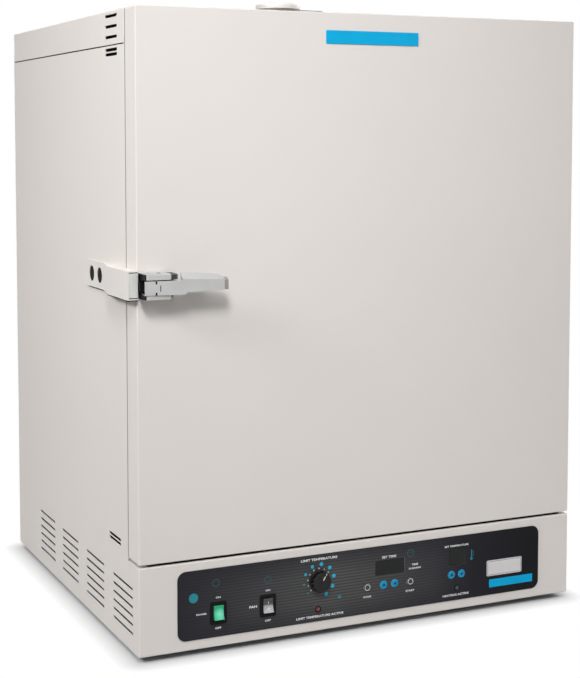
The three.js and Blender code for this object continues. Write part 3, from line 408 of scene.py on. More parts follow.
def woolFinish():  # matted mineral fibre
    finish, tree, shader = startFinish("mineralWool", "mineral_wool", Roughness=0.95)
    place = objectPlace(tree)
    waves = {"Vector": place, "Scale": 260.0, "Distortion": 18.0, "Detail": 3.0}
    fibre = addNode(tree, "TexWave", waves).outputs["Fac"]
    patch = rerange(tree, noiseAt(tree, place, 40.0, 5.0), 0.3, 0.7, 0.0, 0.4)
    colour = mixColours(tree, fibre, rgb(0.62, 0.56, 0.42), rgb(0.86, 0.81, 0.66))
    tree.links.new(mixColours(tree, patch, colour, rgb(0.7, 0.62, 0.45)), shader["Base Color"])
    addBump(tree, shader, fibre, 0.8, 0.0012)
    return finish


def boardFinish():  # circuit board with copper tracks under its green mask
    finish, tree, shader = startFinish("circuitBoard", "circuit_board", Roughness=0.35)
    cells = {"Vector": objectPlace(tree), "Scale": 260.0, "Mortar Size": 0.06, "Color1": rgb(0.1, 0.4, 0.22),
             "Color2": rgb(0.13, 0.46, 0.25), "Mortar": rgb(0.2, 0.56, 0.3)}
    tracks = addNode(tree, "TexBrick", cells)
    tree.links.new(tracks.outputs["Color"], shader["Base Color"])
    addBump(tree, shader, tracks.outputs["Fac"], 0.3, 0.00005)
    return finish


# Each row: slot, colour, roughness, depth and scale of its clouds, scale and strength of its grain
plainFinishes = {
    "paint": ("paint", (0.892, 0.87, 0.853), 0.56, 0.012, 3.0, 1400.0, 0.12),
    # the next row's black is painted shade that keeps what shows through the side slots dark
    "blackFleece": ("mineral_wool", (0.06, 0.06, 0.06), 0.95, 0.3, 60.0, 900.0, 0.8),
    "rodSteel": ("stainless", (0.8, 0.8, 0.81), 0.24, 0.08, 60.0, 1500.0, 0.1),
    "zincSteel": ("steel", (0.68, 0.69, 0.71), 0.36, 0.16, 130.0, 800.0, 0.2),
    "heaterSteel": ("steel", (0.4, 0.37, 0.34), 0.5, 0.2, 90.0, 900.0, 0.2),
    "blackSteel": ("steel", (0.09, 0.09, 0.1), 0.45, 0.2, 120.0, 1200.0, 0.2),
    "capMetal": ("cast_metal", (0.57, 0.555, 0.54), 0.5, 0.08, 60.0, 1600.0, 0.3),
    "blackPlastic": ("black_plastic", (0.045, 0.045, 0.05), 0.45, 0.15, 80.0, 2200.0, 0.3),
    "knobPlastic": ("black_plastic", (0.02, 0.02, 0.022), 0.24, 0.12, 60.0, 1800.0, 0.15),
    "greyPlastic": ("black_plastic", (0.3, 0.3, 0.3), 0.35, 0.1, 90.0, 1600.0, 0.2),
    "darkButton": ("black_plastic", (0.17, 0.17, 0.18), 0.4, 0.08, 90.0, 1800.0, 0.2),
    "shadowSlot": ("black_plastic", (0.04, 0.04, 0.04), 0.9, 0.2, 60.0, 900.0, 0.3),
    # the next row is the rubber of the feet and plugs, and also the black of strips that stand in as painted
    # shade in gaps
    "footRubber": ("foot_rubber", (0.06, 0.06, 0.06), 0.8, 0.2, 90.0, 1200.0, 0.5),
    # the next row is a grey that stands in as painted shade in the seam beside the door
    "greySeal": ("foot_rubber", (0.57, 0.56, 0.55), 0.8, 0.08, 40.0, 1200.0, 0.3),
    "gasketSilicone": ("gasket_silicone", (0.58, 0.27, 0.18), 0.6, 0.1, 25.0, 900.0, 0.3),
    "bluePlate": ("blue_plate", (0.0, 0.66, 0.86), 0.4, 0.05, 30.0, 1500.0, 0.08),
    "blueButton": ("blue_button", (0.0, 0.58, 0.78), 0.3, 0.06, 90.0, 1500.0, 0.1),
    "smokedWindow": ("smoked_window", (0.13, 0.14, 0.13), 0.16, 0.08, 30.0, 400.0, 0.02),
    "redLens": ("smoked_window", (0.42, 0.05, 0.06), 0.2, 0.2, 200.0, 700.0, 0.05),
    "darkGreenLens": ("smoked_window", (0.04, 0.16, 0.1), 0.2, 0.2, 200.0, 700.0, 0.05),
    "stickerPaper": ("overlay_film", (0.85, 0.84, 0.84), 0.6, 0.03, 60.0, 1800.0, 0.1),
    "whitePrint": ("overlay_film", (0.9, 0.9, 0.9), 0.5, 0.05, 90.0, 2500.0, 0.05),
    "tealPrint": ("overlay_film", (0.05, 0.5, 0.55), 0.5, 0.08, 90.0, 2500.0, 0.05),
    "cyanPrint": ("overlay_film", (0.05, 0.68, 0.82), 0.5, 0.08, 90.0, 2500.0, 0.05),
    "inkPrint": ("overlay_film", (0.08, 0.08, 0.1), 0.5, 0.08, 90.0, 2500.0, 0.05),
    "faintPrint": ("overlay_film", (0.12, 0.3, 0.31), 0.5, 0.08, 90.0, 2500.0, 0.05),
}
# What differs from the usual values of a finish
usual = {"metallic": 0.0, "gloss": 0.5}
metallic = {"rodSteel": 1.0, "zincSteel": 1.0, "heaterSteel": 1.0, "capMetal": 0.1}
gloss = {"paint": 0.04, "blackFleece": 0.1, "blackSteel": 0.2, "blackPlastic": 0.12, "knobPlastic": 0.3,
         "footRubber": 0.15, "greySeal": 0.15, "bluePlate": 0.15, "blueButton": 0.2, "smokedWindow": 0.15}
special = {"paint": {"dust": 0.1}, "blackFleece": {"depth": 0.0006},
           "gasketSilicone": {"Subsurface_Weight": 0.1},
           "redLens": {"Coat_Weight": 0.4}, "darkGreenLens": {"Coat_Weight": 0.4}}

finishes = {
    "linerSteel": linerSteelFinish(),
    "spunMetal": spunFinish(),
    "castMetal": castFinish("castMetal", (0.745, 0.745, 0.742)),
    "paleMetal": castFinish("paleMetal", (0.87, 0.88, 0.86)),
    "overlayFilm": filmFinish(),
    "smokyRocker": smokyRockerFinish(),
    "greenRocker": litGreenFinish(),
    "mineralWool": woolFinish(),
    "circuitBoard": boardFinish(),
}
for name, row in plainFinishes.items():
    finishes[name] = plainFinish(name, *row, Metallic=metallic.get(name, usual["metallic"]),
                                 Specular_IOR_Level=gloss.get(name, usual["gloss"]), **special.get(name, {}))
print("finishes: made")


# Outlines: lists of points in the plane across an axis
def polar(centre, reach, turn):
    return centre[0] + reach * math.cos(turn), centre[1] + reach * math.sin(turn)


def fullTurn(steps):
    return [2 * math.pi * i / steps for i in range(steps)]


def circle(centre, radius, steps=32):
    return [polar(centre, radius, turn) for turn in fullTurn(steps)]


def roundRect(us, vs, radius, steps=6):
    centres = [(us[1] - radius, vs[1] - radius), (us[0] + radius, vs[1] - radius),
               (us[0] + radius, vs[0] + radius), (us[1] - radius, vs[0] + radius)]
    return [polar(centre, radius, (quarter + i / steps) * math.pi / 2)
            for quarter, centre in enumerate(centres) for i in range(steps + 1)]


def longHole(us, centre, height):
    return roundRect(us, around(centre, height), height / 2)


def roundOver(start, end, steps=4):  # a quarter round that leaves start along the second value
    (a, b), (c, d) = start, end
    return [(a + (c - a) * (1 - math.cos(turn)), b + (d - b) * math.sin(turn))
            for turn in (i / steps * math.pi / 2 for i in range(steps + 1))]


def roundInto(start, end, steps=4):  # a quarter round that leaves start along the first value
    return [(a, b) for b, a in roundOver((start[1], start[0]), (end[1], end[0]), steps)]


# Forms: meshes in millimetres
def toAxis(axis, u, v, depth):
    return {"x": (depth, u, v), "y": (u, depth, v), "z": (u, v, depth)}[axis]


def welded(form):
    bmesh.ops.remove_doubles(form, verts=form.verts, dist=tiny)
    return form


def flattened(form, angle):  # flat faces in several parts made whole
    welded(form)
    bmesh.ops.dissolve_limit(form, angle_limit=math.radians(angle), verts=form.verts, edges=form.edges)
    return form


def facingOut(form):
    bmesh.ops.recalc_face_normals(form, faces=form.faces)
    return form


def skinned(form, rows, closed):  # joins rows of as many points each and closes their ends
    for low, high in zip(rows, rows[1:] + rows[:1] if closed else rows[1:]):
        for i in range(len(low)):
            j = (i + 1) % len(low)
            form.faces.new((low[i], low[j], high[j], high[i]))
    if not closed:
        form.faces.new(rows[0])
        form.faces.new(rows[-1])
    return form


def loft(axis, rings, closed=False):  # skins rings given as (depth, points)
    form = bmesh.new()
    rows = [[form.verts.new(toAxis(axis, u, v, depth)) for u, v in ring] for depth, ring in rings]
    return facingOut(welded(skinned(form, rows, closed)))


def framed(axis, us, vs, corner, profile, closed=False):  # a profile of (depth, inset) round a rectangle
    return loft(axis, [(depth, roundRect(grown(us, -inset), grown(vs, -inset), max(corner - inset, 0)))
                       for depth, inset in profile], closed)


def turned(axis, centre, profile, steps=48, closed=False):  # turns a profile of (radius, depth)
    return loft(axis, [(depth, circle(centre, radius, steps)) for radius, depth in profile], closed)


def softened(form, width, steps=2, sharpest=30):  # rounds off every edge sharper than an angle
    sharp = [edge for edge in form.edges
             if edge.is_manifold and edge.calc_face_angle() > math.radians(sharpest)]
    bmesh.ops.bevel(form, geom=sharp, offset=width, segments=steps, profile=0.5, affect="EDGES",
                    clamp_overlap=True)
    return form


def prism(axis, span, outline, soft=0.0, steps=2):  # an outline pushed along an axis
    form = loft(axis, [(depth, outline) for depth in span])
    return softened(form, soft, steps, 40) if soft else form


def block(xs, ys, zs, soft=0.3, steps=2):
    return prism("z", zs, [(xs[0], ys[0]), (xs[1], ys[0]), (xs[1], ys[1]), (xs[0], ys[1])], soft, steps)


def plate(xs, ys, zs, corner, edge, steps=4):  # a flat plate whose front edge is rounded
    return framed("y", xs, zs, corner, [*roundOver((ys[0], edge), (ys[0] + edge, 0), steps), (ys[1], 0)])


def meshOf(name, form):
    mesh = bpy.data.meshes.new(name)
    form.to_mesh(mesh)
    form.free()
    return mesh


def together(form, *others):  # forms that share one piece, each closed in itself
    for other in others:
        mesh = meshOf("adding", other)
        form.from_mesh(mesh)
        bpy.data.meshes.remove(mesh)
    return form


def moved(form, offset, turn, axis="z"):  # turned about an axis and then shifted
    form.transform(Matrix.Rotation(math.radians(turn), 4, axis.upper()))
    form.transform(Matrix.Translation(offset))
    return form


def mirrored(form):
    form.transform(Matrix.Scale(-1, 4, (1, 0, 0)))
    bmesh.ops.reverse_faces(form, faces=form.faces)
    return form


def formOf(holder):  # the form an object has with its modifiers
    bpy.context.view_layer.update()
    shown = holder.evaluated_get(bpy.context.evaluated_depsgraph_get())
    mesh = bpy.data.meshes.new_from_object(shown)
    form = bmesh.new()
    form.from_mesh(mesh)
    bpy.data.meshes.remove(mesh)
    bpy.data.objects.remove(holder)
    return form


def combined(form, tool, operation="DIFFERENCE"):  # cuts one form with another, or joins them into one solid
    holder, toolHolder = (newObject("holding", meshOf("holding", facingOut(part))) for part in (form, tool))
    modifier = holder.modifiers.new("cut", "BOOLEAN")
    modifier.operation, modifier.solver, modifier.object = operation, "EXACT", toolHolder
    result = formOf(holder)
    bpy.data.objects.remove(toolHolder)
    return flattened(result, 1)


def curveForm(curve):
    form = formOf(newObject("curve", curve))
    bpy.data.curves.remove(curve)
    return form


def cutSheet(axis, span, outline, holes, soft=0.25):  # a flat sheet with holes, its edges just eased
    curve = bpy.data.curves.new("sheet", "CURVE")
    curve.dimensions, curve.fill_mode = "2D", "BOTH"
    curve.extrude, curve.bevel_depth = size(span) / 2 - soft, soft
    curve.bevel_resolution, curve.offset = 1, -soft
    for points in [outline] + [list(reversed(hole)) for hole in holes]:
        spline = curve.splines.new("POLY")
        spline.points.add(len(points) - 1)
        for point, (u, v) in zip(spline.points, points):
            point.co = (u, v, 0, 1)
        spline.use_cyclic_u = True
    form = curveForm(curve)
    for vert in form.verts:
        u, v, depth = vert.co
        vert.co = toAxis(axis, u, v, middle(span) + depth)
    return welded(form)


def wire(points, radius, steps=12, closed=False):  # a round rod along a line of points
    points = [Vector(point) for point in points]
    form, rows, side = bmesh.new(), [], None
    for i, point in enumerate(points):
        ahead = points[(i + 1) % len(points)] if closed or i < len(points) - 1 else point
        behind = points[i - 1] if closed or i else point
        along = (ahead - behind).normalized()
        if side is None:
            side = along.orthogonal().normalized()
        side = (side - along * side.dot(along)).normalized()
        other = along.cross(side)
        ring = [math.cos(turn) * side + math.sin(turn) * other for turn in fullTurn(steps)]
        rows.append([form.verts.new(point + radius * spoke) for spoke in ring])
    return skinned(form, rows, closed)


# What is printed on the film is a thin raised form in front of its face
printed = {"face": spans("control_overlay")[1][0] - 0.02, "thickness": 0.12, "root": 0.1, "weight": 0.03,
           "squash": 0.75, "soft": 0.02}
inkYs = (printed["face"] - printed["thickness"], printed["face"] + printed["root"])


def lettering(word, place, width):  # letters fitted to a width and centred on a place in x and z
    text = bpy.data.curves.new("lettering", "FONT")
    text.body, text.size, text.offset, text.extrude = word, 1.0, printed["weight"], printed["thickness"] / 2
    text.align_x, text.align_y, text.resolution_u = "CENTER", "CENTER", 3
    form = curveForm(text)
    reach = [vert.co.x for vert in form.verts]
    reach = (min(reach), max(reach))
    scale = width / size(reach)
    for vert in form.verts:
        u, v, depth = vert.co
        vert.co = (place[0] + (u - middle(reach)) * scale, printed["face"] - depth,
                   place[1] + v * scale * printed["squash"])
    return welded(form)


def inkDisc(centre, radius, steps=24):
    return turned("y", centre, [(0, inkYs[0]), (radius, inkYs[0]), (radius, inkYs[1]), (0, inkYs[1])], steps)


def inkBar(xs, zs):
    return block(xs, inkYs, zs, printed["soft"], 1)


def ringForm(centre, radius, width, ys=inkYs, steps=40):
    profile = [(radius - width, ys[0]), (radius, ys[0]), (radius, ys[1]), (radius - width, ys[1])]
    return turned("y", centre, profile, steps, closed=True)


# Pieces
def addPiece(name, form, finish, body, *nodes, smooth=35):  # stands for the nodes and rides on the body
    form = facingOut(form)
    form.transform(toWorld)
    mesh = meshOf(name, form)
    for face in mesh.polygons:
        face.use_smooth = True
    mesh.set_sharp_from_angle(angle=math.radians(smooth))
    mesh.materials.append(finishes[finish])
    piece = newObject(name, mesh)
    even = piece.modifiers.new("evenShading", "WEIGHTED_NORMAL")
    even.weight, even.keep_sharp = 100, True
    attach(piece, body)
    if nodes:
        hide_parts(*nodes)


def nodeForm(node):  # a copy of a node's form
    form = bmesh.new()
    form.from_mesh(frame["nodes"][node].data)
    form.transform(fromWorld)
    return flattened(form, 2)


bodyOf = {node: body for body, nodes in frame["record"]["behaviour"]["bodies"].items() for node in nodes}


def camel(node):
    first, *rest = node.split("_")
    return first + "".join(word.capitalize() for word in rest)


def addFor(node, form, finish):  # a piece that stands for one node
    addPiece(camel(node), form, finish, bodyOf[node], node)


def workedPiece(node, finish, soft, steps=2):  # a node's own form with its edges rounded off
    addFor(node, softened(nodeForm(node), soft, steps), finish)


def finishNode(node, finish):  # a node whose form is right as it is
    materials = frame["nodes"][node].data.materials
    for i in range(len(materials)):
        materials[i] = finishes[finish]


# Screws with a hexagonal socket. Their heads are drawn in shares of rise and radius.
screwSizes = {"radius": 3.6, "rise": 1.6, "socket": 1.3, "depth": 1.0, "steps": 24,
              "head": [(0, 1), (0.3, 1), (0.7, 0.92), (0.9, 0.78), (1, 0.6)]}


def screw(axis, centre, face):  # its head stands on a face
    steps, rise, side = screwSizes["steps"], screwSizes["rise"], math.pi / 3
    rings = [(face + rise * share, circle(centre, screwSizes["radius"] * reach, steps))
             for share, reach in screwSizes["head"]]
    hexagon = [polar(centre, screwSizes["socket"] / math.cos((turn + side / 2) % side - side / 2), turn)
               for turn in fullTurn(steps)]
    return loft(axis, rings + [(face + rise, hexagon), (face + (rise - screwSizes["depth"]), hexagon)])


def edgeScrews(node, inset, count):  # down the sides of a sheet, with three along its top and its bottom
    xs, ys, zs = spans(node)
    rises = evenly(count, zs[0] + 2 * inset, (size(zs) - 4 * inset) / (count - 1))
    places = [(x, z) for x in grown(xs, -inset) for z in rises]
    places += [(x, z) for x in evenly(3, -size(xs) / 4, size(xs) / 4) for z in grown(zs, -inset)]
    return together(*[screw("y", place, ys[1]) for place in places])


# Cabinet shell: covers and side panels with their slots and louvers, and dark strips and mats behind them
# that are painted shade
shellSizes = {
    "sheet": 1.5,
    "gap": 0.3,
    "edge": 1.6,
    "corner": 3.0,
    "slot": {"length": 58, "height": 4.8, "front": 84},
    "coverDrop": 6.5,
    "joint": 2.0,
    "strip": {"inset": 0.8, "short": 4, "clearance": 0.05},
    "coverSlots": {"drop": 8, "pitch": -16, "count": 3},
    "sideSlots": {"drop": 59.5, "pitch": -7, "count": 2},
    "lowSlots": {"rise": 11.5, "pitch": 6.5, "count": 2},
    "louver": {"length": 96, "height": 4, "front": 29, "bottom": 28, "pitch": 13.8, "rows": 6,
               "columnPitch": 142.5, "columns": 4},
    "rearLouver": {"length": 110, "height": 4, "pitch": 14, "rows": 5, "columnPitch": 170, "columns": 3,
                   "lower": 150, "upperDrop": 195},
    "flange": 20,
    "joggle": 14,
    "lipFront": 160,
    "screwInset": 9,
    "screwRows": 6,
}
sheetThickness, gap = shellSizes["sheet"], shellSizes["gap"]
coverXs, coverYs, coverZs = spans("top_cover")
halfWidth, cabinetRear, cabinetTop = coverXs[1], coverYs[1], coverZs[1]
coverLow = coverZs[0] - shellSizes["coverDrop"]  # lower edge of the cover's sides
doorBottom = spans("door_skin")[2][0]
baseHeight = spans("front_fascia")[2][1]
ventSizes = {"radius": 25, "bore": 21, "flange": 3,
             "window": {"height": 9, "width": 18, "drop": 12, "count": 4}}
inletSizes = {"flangeReach": 9.5, "flangeRise": 2.5}


def slotHoles(rows, start):
    slot = shellSizes["slot"]
    return [longHole((slot["front"], slot["front"] + slot["length"]), rise, slot["height"])
            for rise in evenly(rows["count"], start, rows["pitch"])]


def louverHoles(louver, left, bottom):
    return [longHole((start, start + louver["length"]), rise, louver["height"])
            for start in evenly(louver["columns"], left, louver["columnPitch"])
            for rise in evenly(louver["rows"], bottom, louver["pitch"])]


def sidePanelForm():
    xs, ys, zs = spans("left_side_panel")
    outer, top, thick = xs[0], coverLow - shellSizes["joint"], sheetThickness
    front = spans("chamber_liner")[1][0]
    outline = [(ys[0], 0), (ys[1], 0), (ys[1], top), (front, top), (front, baseHeight), (ys[0], baseHeight)]
    sideSlots, lowSlots, louver = take(shellSizes, "sideSlots", "lowSlots", "louver")
    holes = slotHoles(sideSlots, cabinetTop - sideSlots["drop"])
    holes += slotHoles(lowSlots, doorBottom + lowSlots["rise"])
    holes += louverHoles(louver, louver["front"], louver["bottom"])
    form = cutSheet("x", (outer, outer + thick), outline, holes)
    inside = outer + thick / 2
    rearFlange = block((inside, outer + shellSizes["flange"]), (ys[1] - thick, ys[1]), (thick, top))
    lipXs = (outer + thick + gap, outer + 2 * thick + gap)
    lipYs = (shellSizes["lipFront"], ys[1] - shellSizes["flange"])
    step = block((inside, lipXs[1]), lipYs, (top - shellSizes["joggle"], top))
    return together(form, rearFlange, step, block(lipXs, lipYs, (top - shellSizes["joggle"], zs[1])))


def topCoverForm():
    xs, ys, zs, thick, edge = coverXs, coverYs, coverZs, sheetThickness, shellSizes["edge"]
    profile = [(zs[1] - thick, thick), (zs[0], thick), (zs[0], 0)]
    profile += roundInto((zs[1] - edge, 0), (zs[1], edge))
    form = framed("z", xs, ys, shellSizes["corner"], profile)
    for walls in ((xs[0], xs[0] + thick), (xs[1] - thick, xs[1])):
        skirt = block(walls, grown(ys, -shellSizes["corner"]), (coverLow, zs[0] + 1), 0)
        form = combined(form, skirt, "UNION")
    slots, hole = shellSizes["coverSlots"], ventSizes["radius"] + gap
    cutters = [prism("x", grown(xs, 2), outline) for outline in slotHoles(slots, cabinetTop - slots["drop"])]
    cutters.append(turned("z", centreOf("vent_collar", "z"), [(hole, zs[0]), (hole, zs[1] + 2)]))
    return combined(form, together(*cutters))


def coverJointShadeForm():  # a dark strip in the joint under the cover's left side, painted shade for the joint's gap
    outer, strip = spans("left_side_panel")[0][0], shellSizes["strip"]
    xs = (outer + strip["inset"], outer + sheetThickness + gap)
    rises = grown((coverLow - shellSizes["joint"], coverLow), -strip["clearance"])
    return block(xs, grown(coverYs, -strip["short"]), rises, 0)


def rearCoverForm():
    xs, ys, zs = spans("rear_cover")
    louver = shellSizes["rearLouver"]
    left = -(louver["columns"] - 1) / 2 * louver["columnPitch"] - louver["length"] / 2
    holes = [hole for bottom in (louver["lower"], cabinetTop - louver["upperDrop"])
             for hole in louverHoles(louver, left, bottom)]
    inletXs, _, inletZs = spans("power_inlet")
    holes.append(roundRect(grown(inletXs, gap - inletSizes["flangeReach"]),
                           grown(inletZs, gap - inletSizes["flangeRise"]), 1))
    return cutSheet("y", ys, roundRect(xs, zs, 2), holes)


seamSizes = {"inset": 16, "ys": (5, 22), "root": 0.2, "clearance": 0.9, "sealInset": 0.6, "sealWidth": 3,
             "sealDepth": 2.6, "sealCorner": 3.0}


def doorGapShadeForm():  # a black strip on the ledge in the gap under the door, painted shade for the dark gap
    reach = halfWidth - seamSizes["inset"]
    rises = (baseHeight - seamSizes["root"], doorBottom - seamSizes["clearance"])
    return block((-reach, reach), seamSizes["ys"], rises, 0.8)


def edgeGapShadeForm():  # a grey strip that lines the gap behind the door's edges, painted shade that darkens the seam there
    xs, _, zs = spans("door_skin")
    front, rear = coverYs[0] - seamSizes["sealDepth"], coverYs[0]
    inset, inner = seamSizes["sealInset"], seamSizes["sealInset"] + seamSizes["sealWidth"]
    profile = [(front, inner), (front, inset), (rear, inset), (rear, inner)]
    return framed("y", xs, zs, seamSizes["sealCorner"], profile, closed=True)


matSizes = {"inset": 8, "thick": 3, "front": 40, "rear": 60, "low": 22, "drop": 20,
            "raised": (75, 160), "step": 47}


def louverShadeMatForm():  # a thin black mat behind the left louvers, painted shade that keeps the slots dark
    x, high = -halfWidth + matSizes["inset"], baseHeight - matSizes["drop"]
    front, rear, low = matSizes["front"], cabinetRear - matSizes["rear"], matSizes["low"]
    (start, stop), top = matSizes["raised"], high + matSizes["step"]
    outline = [(front, low), (rear, low), (rear, high), (stop, high), (stop, top), (start, top),
               (start, high), (front, high)]
    return prism("x", (x, x + matSizes["thick"]), outline, 0.8)


def makeShell():
    addPiece("seamStrip", doorGapShadeForm(), "footRubber", "cabinet")
    addPiece("coverJointLeft", coverJointShadeForm(), "footRubber", "cabinet")
    addPiece("coverJointRight", mirrored(coverJointShadeForm()), "footRubber", "cabinet")
    addPiece("edgeSeal", edgeGapShadeForm(), "greySeal", "cabinet")
    addPiece("filterMatLeft", louverShadeMatForm(), "blackFleece", "cabinet")
    addPiece("filterMatRight", mirrored(louverShadeMatForm()), "blackFleece", "cabinet")
    addFor("left_side_panel", sidePanelForm(), "paint")
    addFor("right_side_panel", mirrored(sidePanelForm()), "paint")
    addFor("top_cover", topCoverForm(), "paint")
    addFor("rear_cover", rearCoverForm(), "paint")
    screws = edgeScrews("rear_cover", shellSizes["screwInset"], shellSizes["screwRows"])
    addPiece("rearScrews", screws, "zincSteel", "cabinet")
    workedPiece("face_frame", "paint", 0.4)
    workedPiece("base_pan", "zincSteel", 0.4)


# Feet: a round pad that narrows above its waist
footSizes = {"radius": 20, "neck": 14, "edge": 1.5, "waistRise": 0.1, "waistHalf": 0.6}


def makeFeet():
    radius, neck, edge = take(footSizes, "radius", "neck", "edge")
    for node in [name for name in frame["nodes"] if name.startswith("foot_")]:
        low, high = spans(node)[2]
        waist = middle((low, high)) + footSizes["waistRise"]
        profile = [(0, low), *roundInto((radius - edge, low), (radius, low + edge))]
        profile += [(radius, waist - footSizes["waistHalf"]), (radius - 0.8, waist + 0.5),
                    (neck + 1, high - 0.8), (neck, high), (0, high)]
        addFor(node, turned("z", centreOf(node, "z"), profile), "footRubber")


# Door
doorSizes = {"edge": 1.5, "corner": 3.0, "flange": 22, "bend": 0.8, "screws": 5, "screwInset": 14}
gasketSizes = {"width": 17, "corner": 26, "foot": 0.9, "edge": 0.4}
badgeSizes = {"corner": 1.2, "edge": 0.4}


def doorSkinForm():
    xs, (front, rear), zs = spans("door_skin")
    (edge, bend, flange), thick = take(doorSizes, "edge", "bend", "flange"), sheetThickness
    profile = [*roundOver((front, edge), (front + edge, 0)), *roundInto((rear - bend, 0), (rear, bend)),
               (rear, flange), (rear - thick, flange), (rear - thick, thick), (front + thick, thick)]
    return framed("y", xs, zs, doorSizes["corner"], profile)


def gasketForm():  # a flat foot with two soft ribs that meet the face frame
    xs, (low, high), zs = spans("door_gasket")
    wide, edge, foot = gasketSizes["width"], gasketSizes["edge"], low + gasketSizes["foot"]
    profile = [(low, edge), (low, wide - edge), (foot, wide)]
    for start in (wide, wide / 2):
        profile += [(foot + (high - foot) * math.sin(math.pi * i / 8), start - wide / 2 * i / 8)
                    for i in range(1, 9)]
    return framed("y", xs, zs, gasketSizes["corner"], profile, closed=True)


def makeDoor():
    addFor("door_skin", doorSkinForm(), "paint")
    workedPiece("door_inner_panel", "linerSteel", 0.5)
    finishNode("door_insulation", "mineralWool")
    addPiece("doorGasket", gasketForm(), "gasketSilicone", "door", "door_gasket", smooth=60)
    screws = edgeScrews("door_inner_panel", doorSizes["screwInset"], doorSizes["screws"])
    addPiece("doorScrews", screws, "zincSteel", "door")
    addFor("door_badge", plate(*spans("door_badge"), badgeSizes["corner"], badgeSizes["edge"]), "bluePlate")


# Hinges: leaves and knuckles of their nodes, with screws in each leaf
hingeSizes = {
    "leaf": 3,
    "trim": 9,
    "inset": 13,
    "soft": 0.5,
    "fixed": (1, (-27, -10)),  # which edge of the leaf in y, and how far its screws are from there
    "door": (0, (18, 30)),
}


def makeHinges():
    for node in [f"hinge_{where}_{half}" for where in ("lower", "upper") for half in ("fixed", "door")]:
        xs, ys, zs = spans(node)
        form, half = nodeForm(node), node.split("_")[-1]
        if half == "door":
            cut = (ys[0] - 1, ys[0] + hingeSizes["trim"])
            form = combined(form, block(grown(xs, 1), cut, grown(zs, 1), 0))
        addFor(node, softened(form, hingeSizes["soft"]), "zincSteel")
        edge, steps = hingeSizes[half]
        heads = [screw("x", (ys[edge] + step, z), xs[0] + hingeSizes["leaf"])
                 for step in steps for z in grown(zs, -hingeSizes["inset"])]
        addPiece(camel(node) + "Screws", together(*heads), "zincSteel", bodyOf[node])


# Latch: a base with two ears, a lever on a pin, a bolt, and the strike on the cabinet's side
latchSizes = {
    "corner": 4,
    "soft": 0.7,
    "lowerEar": 7,
    "upperEar": 9,
    "trim": 2.2,
    "earReach": 35,
    "earStart": 5,
    "plateTrim": 0.6,
    "guide": 1.2,
    "guideFront": 32,
    "guideStep": 12.6,
    "guideHole": (0.2, 0.4),
    "ease": {"low": 0.1, "high": 0.6, "guide": 0.4},
    "bumper": {"gap": 0.6, "front": 4, "rear": -3, "outer": 5, "inner": 1, "slope": 6},
}
baseXs, baseYs, baseZs = spans("handle_base")
trimmedZs = grown(baseZs, -latchSizes["trim"])
plateYs = (spans("latch_bolt")[1][1] + gap, baseYs[1])
lowEar = baseZs[0] + latchSizes["lowerEar"] + latchSizes["trim"]  # the ears' inner sides
highEar = baseZs[1] - latchSizes["upperEar"] - latchSizes["trim"]
ease = latchSizes["ease"]


def handleBaseForm():  # two ears; a root of the lever turns between them
    earXs = (baseXs[0] - latchSizes["earStart"], baseXs[0] + latchSizes["earReach"])
    outline = roundRect(earXs, (baseYs[0], middle(plateYs)), latchSizes["corner"], 5)
    ears = ((trimmedZs[0], lowEar - ease["low"]), (highEar + ease["high"], trimmedZs[1]))
    return together(*[prism("z", rises, outline, latchSizes["soft"], 3) for rises in ears])


def handlePlateForm():  # the plate under the ears, black as painted shade for the hollow between them
    rises = grown(trimmedZs, -latchSizes["plateTrim"])
    return block((baseXs[0], baseXs[1] - 1), plateYs, rises, latchSizes["soft"], 3)


def handleEarShadeForm():  # a dark block beside the upper ear, painted shade for the gap between the ear and the arm
    bumper = latchSizes["bumper"]
    start = baseXs[0] + latchSizes["earReach"] + bumper["gap"]
    low, end = baseYs[0] + bumper["front"], baseXs[1] - bumper["inner"]
    outline = [(start, low), (baseXs[1] - bumper["outer"], low), (end, low + bumper["slope"]),
               (end, bumper["rear"]), (start, bumper["rear"])]
    return prism("z", (highEar + ease["high"], trimmedZs[1] - bumper["inner"]), outline, 0.6)


def boltGuideShadeForm():  # a guide at the ears' ends, black as painted shade for the latch's hollow side: open for the lever's root, with a hole for the bolt
    _, boltYs, boltZs = spans("latch_bolt")
    (low, high), rear = trimmedZs, baseYs[1]
    front, step = rear - latchSizes["guideFront"], rear - latchSizes["guideStep"]
    lowEdge, highEdge = lowEar - ease["guide"], highEar + ease["guide"]
    outline = [(rear, low), (rear, high), (front, high), (front, highEdge), (step, highEdge), (step, lowEdge),
               (front, lowEdge), (front, low)]
    acrossGap, riseGap = latchSizes["guideHole"]
    hole = roundRect(grown(boltYs, acrossGap), grown(boltZs, riseGap), 0.2, 2)
    left = baseXs[0] - latchSizes["earStart"]
    return cutSheet("x", (left - latchSizes["guide"], left + 0.1), outline, [hole])


leverSizes = {
    "hub": 7.2,
    "arm": 9,
    "faceRise": 23.0,
    "faceTaper": 3.0,
    "rise": 3.2,
    "taper": 1.0,
    "top": (0.8, 3, 5.2),
    "bevel": 1.2,
    "cap": 6.5,
    "capInset": 0.7,
    "nose": 11.5,
    "noseThick": 1.7,
    "sections": (0.0, 0.4, 0.7, 0.82, 0.91, 1.0),
    "tooth": {"width": 4, "length": 9, "rises": (6, 15)},
    "slot": (2.5, 1.3, 5.5, 14.5),
    "relief": (8.8, 2.8, 4.2),
    "markRise": 0.12,
}
leverXs, leverYs, leverZs = spans("handle_lever")
pinX, pinY = centreOf("handle_pin", "z")
rootTop = highEar - 3 * gap
noseAt = (pinX - 2 * leverSizes["hub"] - leverSizes["nose"], pinY - 2 * leverSizes["hub"])


